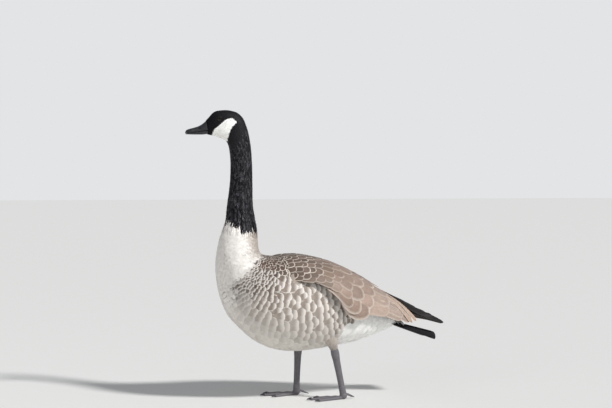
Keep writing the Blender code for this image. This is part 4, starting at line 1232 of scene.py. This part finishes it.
# %% [markdown]
# ## The coverts over the tail
# A white crescent of soft coverts hides the root of the tail. Four rows start on the rump and end on
# the tail's upper face, and each feather is a curve through three points between them.

# %% White coverts over the tail's root
covers = []
for number, (start, reach) in enumerate(((204, 0.2), (208, 0.27), (212, 0.34), (216, 0.41))):
    for across in np.linspace(-1, 1, 7 - number % 2) * (0.76 - 0.06 * (number % 2)):
        first = np.array((start, 17 * across, 219 - 0.95 * (start - 204) - 9 * across**2))
        last = tail_point(np.array(reach + rng.uniform(-0.03, 0.03)), across * 0.9) + (0, 0, 1.6 + 0.5 * number)
        covers.append((first, (first + last) / 2 + (0, 2.5 * across, 3.5), last))
covers = np.array(covers)
shares, halves = feather_rows(np.full(len(covers), 40.0), 7.6, 4, 5, 1.9, 0.7)
t = shares[..., None]
lines = covers[:, :1] * (1 - t) ** 2 + covers[:, 1:2] * 2 * t * (1 - t) + covers[:, 2:] * t**2
lines = lines - (0, 0, 3.0) * (1 - t) ** 2
ups = unit(np.stack([0.5 + 0 * shares, lines[..., 1] / 60, 1 + 0 * shares], -1))
white = SHADES["vent"] * rng.uniform(0.94, 1.0, (len(covers), 1))
spots = np.stack([np.full(len(covers), 0.93), np.linspace(0.05, 0.9, len(covers))], -1)
form = {"columns": 7, "ridge": 0.2, "tuck": 0.6, "thick": 0.2, "fray": 0.02, "soft": 0.7, "droop": 0.01}
edges = np.zeros(len(covers))
covers = feathers("coat_uppertail", lines, ups, halves, DOWN_FEATHER, white, edges, spots, **form)
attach(covers, "root")

# %% [markdown]
# ## The bill
# The bill is black horn: a high base, a gently hollow culmen, a broad nail at the tip, a long open
# nostril each side, and a fine row of lamellae where the mandibles meet. It is lofted finely and the
# nostril is pressed into it.

# %% Bill
# Bill horn is worn smooth: satin black, with a broad soft highlight and hardly any grain.
horn, tree, shader = new_material(
    "black_bill_horn", Specular_IOR_Level=0.5, Coat_Weight=0.12, Coat_Roughness=0.3
)
where = add(tree, "ShaderNodeTexCoord")
grain = add(tree, "ShaderNodeTexNoise", {"Vector": where.outputs["Object"], "Scale": 700.0, "Detail": 5.0})
patchy = add(tree, "ShaderNodeTexNoise", {"Vector": where.outputs["Object"], "Scale": 90.0, "Detail": 3.0})
mixed = {0: patchy.outputs[0], 6: rgba("#121215"), 7: rgba("#2b2b30")}
tree.links.new(add(tree, "ShaderNodeMix", mixed, data_type="RGBA").outputs[2], shader.inputs["Base Color"])
gloss = add(tree, "ShaderNodeMapRange", {0: grain.outputs[0], 1: 0.3, 2: 0.7, 3: 0.34, 4: 0.52})
tree.links.new(gloss.outputs[0], shader.inputs["Roughness"])
fine = add(tree, "ShaderNodeBump", {"Strength": 0.4, "Distance": 0.00015, "Height": grain.outputs[0]})
tree.links.new(fine.outputs[0], shader.inputs["Normal"])

BILL_ROOT, BILL_LEAN = -229.35, 0.06
# x: heights of the culmen, of the mouth's line and of the underside, and the half width
BILL_STATIONS = {
    BILL_ROOT: (661.5, 640.5, 631.2, 13.2),
    -234: (657.8, 639.6, 630.4, 12.7),
    -239: (654.0, 638.7, 630.0, 12.0),
    -247: (649.6, 637.2, 629.9, 11.1),
    -257: (646.2, 635.8, 629.9, 10.6),
    -266: (643.8, 634.6, 630.0, 10.2),
    -272.5: (641.4, 633.8, 630.2, 8.4),
    -276.3: (638.6, 633.0, 630.4, 5.2),
    BILL_TIP_X: (636.2, 632.7, 630.6, 2.4),
}
NOSTRIL, NOSTRIL_HALF = (-246, 644.4), (4.2, 1.15)


def bill_rings(upper_part, tip, count=96, rows_count=150):
    """Rings of one mandible. The first few run on into the head, under the feathers."""
    knots = sorted(BILL_STATIONS)
    share = np.linspace(0, 1, rows_count)
    x = BILL_ROOT + 2 + (tip - BILL_ROOT - 2) * (1 - (1 - share) ** 1.8)
    values = smooth(knots, [BILL_STATIONS[k] for k in knots], np.minimum(x, BILL_ROOT))
    culmen, mouth, underside, half = [v[:, None] for v in values.T]
    turn = np.linspace(0, math.pi, count // 2 + 1)[None]
    teeth = 0.22 * np.sin(2 * math.pi * x / 2.1)[:, None] * step(-275, -269, x)[:, None]
    s, c = np.sin(turn), np.cos(turn)
    floor_turn = np.linspace(1, -1, count // 2 + 1)[None, 1:-1]
    if upper_part:
        arch = mouth + 0.15 + (culmen - mouth - 0.15) * s**0.75
        lip = mouth + 0.15 + teeth + 0 * floor_turn
        nail = 0.7 * np.exp(-(((x + 274.8) / 2.4) ** 2))[:, None] * s**2
        upper_y, lower_y, z = -half * c, half * floor_turn, np.concatenate([arch + nail, lip], axis=1)
    else:
        arch = mouth - 0.15 - (mouth - underside - 0.15) * s**0.6
        lip = mouth - 0.15 - teeth * 0.5 + 0 * floor_turn
        upper_y, lower_y, z = -half * 0.86 * c, half * 0.86 * floor_turn, np.concatenate([arch, lip], axis=1)
    y = np.concatenate([upper_y + 0 * s, lower_y + 0 * floor_turn], axis=1)
    lean = BILL_LEAN * (663 - z) * np.clip(1 - (BILL_ROOT - x[:, None]) / 20, 0, 1)
    rings = np.stack([x[:, None] + lean, y, z], axis=-1)
    if upper_part:
        ahead = rings[..., 0] - NOSTRIL[0]
        along, rise = ahead / NOSTRIL_HALF[0], (z - NOSTRIL[1] - 0.12 * ahead) / NOSTRIL_HALF[1]
        open_ = 1 - step(0.75, 1.05, np.hypot(along, rise))
        brim = step(0.8, 1.1, np.hypot(along, rise)) * (1 - step(1.1, 1.9, np.hypot(along, rise)))
        rings[..., 1] -= np.sign(rings[..., 1]) * (open_ * 2.6 - brim * 0.3)
    return rings


for node, upper_part, tip in (("bill_upper", True, BILL_TIP_X), ("bill_lower", False, BILL_TIP_X + 1.2)):
    mandible = lofted(node + "_horn", bill_rings(upper_part, tip), horn)
    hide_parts(node)
    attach(mandible, "root")
    print(mandible.name, len(mandible.data.polygons), "faces")

# %% [markdown]
# ## The eyes
# A goose's eye is so dark a brown that iris and pupil nearly melt together, and its wet cornea
# catches one bright light. A narrow ring of bare black skin makes the lids.

# %% Eyes and lids
# The cornea is wet and nearly a mirror, so the lamps show in it as small sharp lights.
eye_material, tree, shader = new_material(
    "wet_dark_eye", Roughness=0.1, Specular_IOR_Level=0.3, Coat_Weight=0.05, Coat_Roughness=0.02
)
gaze = add(tree, "ShaderNodeAttribute", attribute_name="gaze")
from_axis = add(tree, "ShaderNodeSeparateXYZ", {0: gaze.outputs["Vector"]})
iris = {0: from_axis.outputs[0], 1: 0.5, 2: 0.56}
iris = add(tree, "ShaderNodeMapRange", iris, interpolation_type="SMOOTHSTEP")
rim = add(tree, "ShaderNodeMapRange", {0: from_axis.outputs[0], 1: 0.86, 2: 0.96})
brown = {0: iris.outputs[0], 6: rgba("#030303"), 7: rgba("#22120b")}
brown = add(tree, "ShaderNodeMix", brown, data_type="RGBA")
dark = {0: rim.outputs[0], 6: brown.outputs[2], 7: rgba("#0b0807")}
dark = add(tree, "ShaderNodeMix", dark, data_type="RGBA")
tree.links.new(dark.outputs[2], shader.inputs["Base Color"])

# The lids are bare skin, dull and beaded, so that only the eye shines.
lid_material, tree, shader = new_material("bare_lid_skin", Specular_IOR_Level=0.4)
where = add(tree, "ShaderNodeTexCoord")
pores = add(tree, "ShaderNodeTexVoronoi", {"Vector": where.outputs["Object"], "Scale": 1400.0})
shader.inputs["Base Color"].default_value = rgba("#100f12")
shader.inputs["Roughness"].default_value = 0.5
beads = add(tree, "ShaderNodeBump", {"Strength": 0.3, "Distance": 0.00012, "Height": pores.outputs[0]})
tree.links.new(beads.outputs[0], shader.inputs["Normal"])

CORNEA_RISE = 0.06  # how far the cornea bulges, as a share of the eye's radius
# the ring of the lids: its breadth and height as shares of the eye's, and the half sizes of its section
LID_SPREAD, LID_SECTION = (1.05, 0.86), (0.62, 0.5)

for side, side_name in ((-1, "left"), (1, "right")):
    centre = eye_centres[side_name]
    flat = body.points.reshape(-1, 3)
    outer = flat[flat[:, 1] * side > 0]
    seat = outer[np.linalg.norm(outer - centre, axis=-1).argmin()]
    out = unit(seat - centre)
    level = unit(np.cross(out, (0.0, 0.0, 1.0)))
    rise = np.cross(level, out)
    ring_turn = np.linspace(0, 2 * math.pi, 48, endpoint=False)
    rings = []
    for latitude in np.linspace(0.03, 0.97, 30) * math.pi:
        bulge = EYE_RADIUS * (1 + CORNEA_RISE * math.exp(-((latitude / 0.5) ** 2)))
        circle = level[None] * np.cos(ring_turn)[:, None] + rise[None] * np.sin(ring_turn)[:, None]
        rings.append(centre + out * bulge * math.cos(latitude) + circle * bulge * math.sin(latitude))
    eye = lofted("eyeball_" + side_name, rings, eye_material)
    spots = np.array([v.co for v in eye.data.vertices]) / MM - SHIFT - centre
    angle = np.arccos(np.clip(unit(spots) @ out, -1, 1)) / (0.5 * math.pi)
    paint(eye.data, "gaze", np.stack([angle * 1.55, 0 * angle, 0 * angle], -1), "FLOAT_VECTOR")
    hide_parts("eye_" + side_name)
    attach(eye, "root")
    lid_rings = []
    for t in ring_turn:
        way = level * math.cos(t) * LID_SPREAD[0] + rise * math.sin(t) * LID_SPREAD[1]
        middle = seat + way * (EYE_RADIUS - 0.1) - out * (0.5 + 0.35 * math.cos(t) ** 2)
        small = np.linspace(0, 2 * math.pi, 12, endpoint=False)
        tube = unit(way)[None] * np.cos(small)[:, None] * LID_SECTION[0]
        tube = tube + out[None] * np.sin(small)[:, None] * LID_SECTION[1]
        lid_rings.append(middle + tube)
    lid_rings = np.array(lid_rings)
    grid = np.arange(lid_rings.shape[0] * 12).reshape(-1, 12)
    nxt = np.roll(grid, -1, axis=0)
    quads = np.stack([grid, np.roll(grid, -1, 1), np.roll(nxt, -1, 1), nxt], -1).reshape(-1, 4)
    lid = outwards(new_piece("eyelid_" + side_name, lid_rings.reshape(-1, 3), quads.tolist(), lid_material))
    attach(lid, "root")
print("eyes and lids done")

# %% [markdown]
# ## Legs and feet
# Legs and feet are bare, dark grey, leathery skin. Shank and foot are one piece: a copy of the
# solids is joined at the toes' root and remeshed, which rounds the creases. Small plates run down
# the front of each shank and along each toe, set along a path by Geometry Nodes.

# %% Leg skin
# Leg skin is leathery and dull, with a net of scales drawn about 1.5 mm across.
leg_skin, tree, shader = new_material("scaled_leg_skin", Specular_IOR_Level=0.4)
where = add(tree, "ShaderNodeTexCoord")
warp = add(tree, "ShaderNodeTexNoise", {"Vector": where.outputs["Object"], "Scale": 140.0, "Detail": 3.0})
cells = {"Vector": where.outputs["Object"], "Scale": 640.0}
cells = add(tree, "ShaderNodeTexVoronoi", cells, feature="DISTANCE_TO_EDGE")
plates = {0: cells.outputs[0], 1: 0.0, 2: 0.22}
plates = add(tree, "ShaderNodeMapRange", plates, interpolation_type="SMOOTHSTEP")
mixed = {0: warp.outputs[0], 6: rgba("#605d61"), 7: rgba("#858186")}
base = add(tree, "ShaderNodeMix", mixed, data_type="RGBA")
mixed = {0: plates.outputs[0], 6: rgba("#5f5c60"), 7: base.outputs[2]}
tree.links.new(add(tree, "ShaderNodeMix", mixed, data_type="RGBA").outputs[2], shader.inputs["Base Color"])
gloss = add(tree, "ShaderNodeMapRange", {0: warp.outputs[0], 1: 0.3, 2: 0.7, 3: 0.45, 4: 0.65})
tree.links.new(gloss.outputs[0], shader.inputs["Roughness"])
relief = add(tree, "ShaderNodeBump", {"Strength": 0.3, "Distance": 0.0002, "Height": plates.outputs[0]})
tree.links.new(relief.outputs[0], shader.inputs["Normal"])


LEG_VOXEL = 0.8 * MM  # fine enough for the toes' knuckles, coarse enough to round the creases


def leg_piece(side_name, leg):
    """Shank and foot as one remeshed piece."""
    shape = bmesh.new()
    for node in ("shank_" + side_name, "foot_" + side_name):
        shape.from_mesh(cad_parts[node].data)
    bmesh.ops.remove_doubles(shape, verts=shape.verts, dist=1e-6)
    toes, ankle = np.array(leg["toes"], float), np.array(leg["ankle"], float)
    hip = np.array(leg["thigh"], float)
    top = ankle + (hip - ankle) * 0.3
    knuckle = toes + (ankle - toes) * 0.045
    bridges = [(toes + (0, 0, -1.5), 6.4, 5.6), (knuckle, 7.6, 6.2), (toes + (ankle - toes) * 0.2, 6.6, 4.6)]
    stubs = [(ankle, 7.5, 5.4), (ankle + (hip - ankle) * KNEE_RISE, 7.4, 5.6), (top, 7.0, 5.6)]
    for stops in (bridges, stubs):
        extra = lofted("bridge", limb_rings(stops, 20, 5)[0], leg_skin)
        shape.from_mesh(extra.data)
        bpy.data.objects.remove(extra)
    mesh = bpy.data.meshes.new("leg_" + side_name)
    shape.to_mesh(mesh)
    shape.free()
    piece = linked("leg_" + side_name, mesh)
    remesh = piece.modifiers.new("remesh", "REMESH")
    remesh.mode, remesh.voxel_size = "VOXEL", LEG_VOXEL
    soften = piece.modifiers.new("soften", "SMOOTH")
    soften.factor, soften.iterations = 0.5, 4
    made = applied(piece)
    made.materials.clear()
    made.materials.append(leg_skin)
    made.shade_smooth()
    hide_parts("shank_" + side_name, "foot_" + side_name)
    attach(piece, "root")
    print(piece.name, len(made.polygons), "faces")
    return BVHTree.FromPolygons([v.co for v in made.vertices], [p.vertices for p in made.polygons])


skins = {side_name: leg_piece(side_name, leg) for side_name, leg in LEGS.items()}

# %% [markdown]
# ## Plates on shanks and toes
# Down the front of a goose's shank and along each toe run small overlapping plates. They repeat along
# a path, so Geometry Nodes sets them: the path's points carry the direction out of the skin and the
# plate's breadth, and one domed plate is placed at each step of the path and tilted a little, so that
# each one laps over the next.

# %% A tree for plates along a path
def plate_tree():
    """Domed plates along paths of edges that carry the attributes out and breadth."""
    tree = bpy.data.node_groups.new("plates_along_path", "GeometryNodeTree")
    tree.interface.new_socket("Geometry", in_out="INPUT", socket_type="NodeSocketGeometry")
    for label, value in (("Spacing", 0.0026), ("Length", 0.0018), ("Thickness", 0.0006)):
        tree.interface.new_socket(label, in_out="INPUT", socket_type="NodeSocketFloat").default_value = value
    tree.interface.new_socket("Seed", in_out="INPUT", socket_type="NodeSocketInt").default_value = 3
    tree.interface.new_socket("Skin", in_out="INPUT", socket_type="NodeSocketMaterial")
    tree.interface.new_socket("Geometry", in_out="OUTPUT", socket_type="NodeSocketGeometry")
    given = add(tree, "NodeGroupInput").outputs
    path = add(tree, "GeometryNodeMeshToCurve", {"Mesh": given["Geometry"]}).outputs[0]
    steps = add(tree, "GeometryNodeCurveToPoints", {"Curve": path, "Length": given["Spacing"]}, mode="LENGTH")
    out = add(tree, "GeometryNodeInputNamedAttribute", {"Name": "out"}, data_type="FLOAT_VECTOR").outputs[0]
    breadth = add(tree, "GeometryNodeInputNamedAttribute", {"Name": "breadth"}, data_type="FLOAT").outputs[0]
    tilt = {0: steps.outputs["Tangent"], "Scale": -0.1}
    tilt = add(tree, "ShaderNodeVectorMath", tilt, operation="SCALE").outputs[0]
    tilt = add(tree, "ShaderNodeVectorMath", {0: out, 1: tilt}).outputs[0]
    axes = {"Primary Axis": tilt, "Secondary Axis": steps.outputs["Tangent"]}
    turned = add(tree, "FunctionNodeAxesToRotation", axes, primary_axis="Z", secondary_axis="X").outputs[0]
    varied = {2: 0.86, 3: 1.1, "Seed": given["Seed"]}
    varied = add(tree, "FunctionNodeRandomValue", varied, data_type="FLOAT").outputs[1]
    wide = add(tree, "ShaderNodeMath", {0: breadth, 1: varied}, operation="MULTIPLY").outputs[0]
    size = add(tree, "ShaderNodeCombineXYZ", {0: given["Length"], 1: wide, 2: given["Thickness"]}).outputs[0]
    plate = add(tree, "GeometryNodeMeshUVSphere", {"Segments": 10, "Rings": 5}).outputs[0]
    placed = {"Points": steps.outputs["Points"], "Instance": plate, "Rotation": turned, "Scale": size}
    placed = add(tree, "GeometryNodeInstanceOnPoints", placed).outputs[0]
    solid = add(tree, "GeometryNodeRealizeInstances", {0: placed}).outputs[0]
    solid = add(tree, "GeometryNodeSetShadeSmooth", {0: solid}).outputs[0]
    solid = add(tree, "GeometryNodeSetMaterial", {"Geometry": solid, "Material": given["Skin"]}).outputs[0]
    add(tree, "NodeGroupOutput", {0: solid})
    return tree


def along_paths(name, paths, tree, **inputs):
    """Runs a tree on paths of (points, outs, breadths), in mm, and keeps its mesh."""
    points = np.concatenate([p for p, _, _ in paths])
    ends = np.cumsum([len(p) for p, _, _ in paths])
    edges = [(i, i + 1) for i in range(len(points) - 1) if i + 1 not in ends]
    mesh = bpy.data.meshes.new(name)
    mesh.from_pydata(to_metres(points), edges, [])
    paint(mesh, "out", np.concatenate([o for _, o, _ in paths]), "FLOAT_VECTOR")
    layer = mesh.attributes.new("breadth", "FLOAT", "POINT")
    layer.data.foreach_set("value", np.concatenate([b for _, _, b in paths]) * MM)
    piece = linked(name, mesh)
    modifier = piece.modifiers.new("plates", "NODES")
    modifier.node_group = tree
    for item in tree.interface.items_tree:
        if item.in_out == "INPUT" and item.name in inputs:
            modifier[item.identifier] = inputs[item.name]
    made = applied(piece)
    print(name, len(made.polygons), "faces")
    return piece


# %% Plates on the legs
PLATES = plate_tree()
# toe: length, splay in degrees, radius; along each, shares and how thick
TOES = {"inner": (62, 21, 4.1), "middle": (80, 0, 4.5), "outer": (72, -20, 4.2)}
TOE_THICK = ((0, 0.12, 0.3, 0.45, 0.62, 0.8, 1), (1.15, 1.05, 1.12, 0.9, 1, 0.82, 0.72))
SHANK_ROWS = (-0.95, -0.32, 0.32, 0.95)  # angles of the rows of plates round the shank's front
SHANK_PLATE, TOE_PLATE = 1.75, 0.62  # half breadths: in mm, and as a share of the toe's radius


def touch(skin, start, way):
    """Where a ray from a place in mm meets a skin, in mm."""
    hit = skin.ray_cast(Vector(to_metres(start)[0]), Vector(way))[0]
    return None if hit is None else np.array(hit) / MM - SHIFT


def plate_path(skin, centres, outs, breadths):
    """A path on the skin: each centre is pushed out along its direction until it lies on the surface."""
    found = [(touch(skin, c + o * 25, -o), o, b) for c, o, b in zip(centres, outs, breadths)]
    points, outs, breadths = zip(*[f for f in found if f[0] is not None and f[0][2] > 2])
    return np.array(points) - np.array(outs) * 0.15, np.array(outs), np.array(breadths)


for side_name, leg in LEGS.items():
    toes, ankle = np.array(leg["toes"], float), np.array(leg["ankle"], float)
    axis = unit(ankle - toes)
    front = unit(np.array((-1.0, 0, 0)) - axis * -axis[0])
    beside = np.cross(axis, front)
    paths = []
    for number, angle in enumerate(SHANK_ROWS):
        up = np.linspace(0.94, 0.2 + 0.012 * (number % 2), 40)
        centres = toes + (ankle - toes) * up[:, None]
        out = np.tile(front * math.cos(angle) + beside * math.sin(angle), (len(up), 1))
        paths.append(plate_path(skins[side_name], centres, out, np.full(len(up), SHANK_PLATE)))
    inwards = 1 if toes[1] < 0 else -1
    for length, splay, radius in TOES.values():
        heading = math.radians(splay) * inwards
        share = np.linspace(0.3, 0.96, 40)
        ahead, aside = -np.cos(heading) * length * share, np.sin(heading) * length * share
        flat = np.stack([ahead, aside, 0 * share - toes[2]], -1)
        thick = np.interp(share, *TOE_THICK) * radius
        out = np.tile((0.0, 0.0, 1.0), (len(share), 1))
        paths.append(plate_path(skins[side_name], toes + flat, out, thick * TOE_PLATE))
    sizes = {"Spacing": 0.0027, "Length": 0.0017, "Thickness": 0.00032, "Seed": 3, "Skin": leg_skin}
    plates = along_paths("leg_plates_" + side_name, paths, PLATES, **sizes)
    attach(plates, "root")

# %% [markdown]
# ## Claws
# A claw is a blunt, curved cone of black horn. Each is lofted on its own over the toe's tip and all
# those of a foot are joined.

# %% Claws
# Claw horn is duller than the bill's: near black, with a fine worn grain.
claw_horn, tree, shader = new_material(
    "black_claw_horn", Specular_IOR_Level=0.5, Coat_Weight=0.1, Coat_Roughness=0.3
)
where = add(tree, "ShaderNodeTexCoord")
grain = add(tree, "ShaderNodeTexNoise", {"Vector": where.outputs["Object"], "Scale": 900.0, "Detail": 4.0})
mixed = {0: grain.outputs[0], 6: rgba("#1a191b"), 7: rgba("#3b383a")}
tree.links.new(add(tree, "ShaderNodeMix", mixed, data_type="RGBA").outputs[2], shader.inputs["Base Color"])
gloss = add(tree, "ShaderNodeMapRange", {0: grain.outputs[0], 1: 0.3, 2: 0.7, 3: 0.35, 4: 0.5})
tree.links.new(gloss.outputs[0], shader.inputs["Roughness"])
# along a claw: share of its length, how thick, how far its middle rises
CLAW = (
    (0.0, 1.04, 0.35), (0.2, 0.98, 0.3), (0.5, 0.74, 0.05), (0.8, 0.45, -0.5), (1.0, 0.24, -1.15),
    (1.06, 0.06, -1.35),
)
# splay in degrees, distance of the claw's root, half size, length, height, how far it slopes down
HIND_CLAW = (168, 20, 2.1, 9.5, 3.2, 1.6)

for side_name, leg in LEGS.items():
    toes = np.array(leg["toes"], float)
    inwards = 1 if toes[1] < 0 else -1
    joined = bmesh.new()
    claws = [(splay, length, radius * 0.72, 10, 0, 0) for length, splay, radius in TOES.values()]
    for splay, length, size, reach, high, fall in [*claws, HIND_CLAW]:
        heading = math.radians(splay) * inwards
        way = np.array((-math.cos(heading), math.sin(heading), 0))
        stops = []
        for share, thick, drop in CLAW:
            root = np.array((toes[0], toes[1], high + size * 1.25 + drop - fall * share))
            centre = root + way * (length + reach * share)
            stops.append((tuple(centre), size * 0.85 * thick + 0.25, size * thick + 0.25))
        claw = lofted("claw", limb_rings(stops, 20, 4)[0], claw_horn)
        joined.from_mesh(claw.data)
        bpy.data.objects.remove(claw)
    mesh = bpy.data.meshes.new("claws_" + side_name)
    joined.to_mesh(mesh)
    joined.free()
    mesh.materials.append(claw_horn)
    mesh.shade_smooth()
    claws = linked("claws_" + side_name, mesh)
    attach(claws, "root")
    print(claws.name, len(mesh.polygons), "faces")

# %% [markdown]
# ## Floor, light and camera
# A plain pale floor and soft light from the right, high behind the viewer, as the sun stands in the
# picture. The camera is 3.3 m away at about the height of the neck's middle, turned 15 degrees
# towards the bird's front.

# %% Stage
# The floor is matt paint, bright enough to throw soft light back on the belly.
floor_material, tree, shader = new_material("pale_floor", Roughness=0.9)
shader.inputs["Base Color"].default_value = rgba("#e9e8e5")
mesh = bpy.data.meshes.new("floor")
wide = 30.0
mesh.from_pydata([(-wide, -wide, 0), (wide, -wide, 0), (wide, wide, 0), (-wide, wide, 0)], [], [(0, 1, 2, 3)])
mesh.materials.append(floor_material)
floor = linked("floor", mesh)

world = bpy.data.worlds.new("studio")
bpy.context.scene.world = world
world.use_nodes = True
tree = world.node_tree
studio = tree.nodes["Background"]
studio.inputs[0].default_value = rgba("#e9edf3")
studio.inputs[1].default_value = 0.36
beyond = add(tree, "ShaderNodeBackground", {0: rgba("#e6e7e9"), 1: 0.97})
seen = add(tree, "ShaderNodeLightPath")
both = {0: seen.outputs["Is Camera Ray"], 1: studio.outputs[0], 2: beyond.outputs[0]}
both = add(tree, "ShaderNodeMixShader", both)
tree.links.new(both.outputs[0], tree.nodes["World Output"].inputs[0])


def softbox(name, location, target, size, power):
    """A square area light that looks at a point."""
    light = bpy.data.objects.new(name, bpy.data.lights.new(name, "AREA"))
    light.data.size, light.data.energy = size, power
    light.location = location
    light.rotation_euler = (Vector(location) - Vector(target)).to_track_quat("Z", "Y").to_euler()
    bpy.context.scene.collection.objects.link(light)
    return light


sun = bpy.data.objects.new("sun", bpy.data.lights.new("sun", "SUN"))
sun.data.energy, sun.data.angle = 2.9, math.radians(8)
sun.rotation_euler = Vector((0.55, -0.62, 0.75)).to_track_quat("Z", "Y").to_euler()
bpy.context.scene.collection.objects.link(sun)
fill = softbox("fill", (-2.6, -1.8, 1.2), (0, 0, 0.3), 1.6, 12)
fill.visible_glossy = False

yaw, pitch = math.radians(15), math.radians(1.083)
DISTANCE, EYE_HEIGHT, AIM_X = 3.3, 0.528, 0.015  # in metres
FOCAL_PIXELS, IMAGE_PIXELS, SENSOR = 1375, 612, 36
camera = linked("camera", bpy.data.cameras.new("camera"))
camera.location = (AIM_X - DISTANCE * math.sin(yaw) + SHIFT[0] * MM, -DISTANCE * math.cos(yaw), EYE_HEIGHT)
sight = Vector((-math.sin(yaw) * math.cos(pitch), -math.cos(yaw) * math.cos(pitch), math.sin(pitch)))
camera.rotation_euler = sight.to_track_quat("Z", "Y").to_euler()
camera.data.lens = SENSOR * FOCAL_PIXELS / IMAGE_PIXELS
camera.data.sensor_width = SENSOR
bpy.context.scene.camera = camera
bpy.context.scene.view_settings.view_transform = "Standard"
floor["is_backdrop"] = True
print("camera", [round(v, 3) for v in camera.location])

# %% [markdown]
# ## Sizes
# Last, the boxes of the solids and of the dressed model are printed side by side. Feathers may
# stand a little proud of the solids, and no more.

# %% Sizes
sizes = {"cad": cad_box, "visual": [list(corner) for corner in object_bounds()]}
meshes = [piece.data for piece in bpy.data.objects if piece.type == "MESH"]
total = sum(len(mesh.loop_triangles) or len(mesh.polygons) * 2 for mesh in meshes)
print("about", total, "triangles;", sizes)
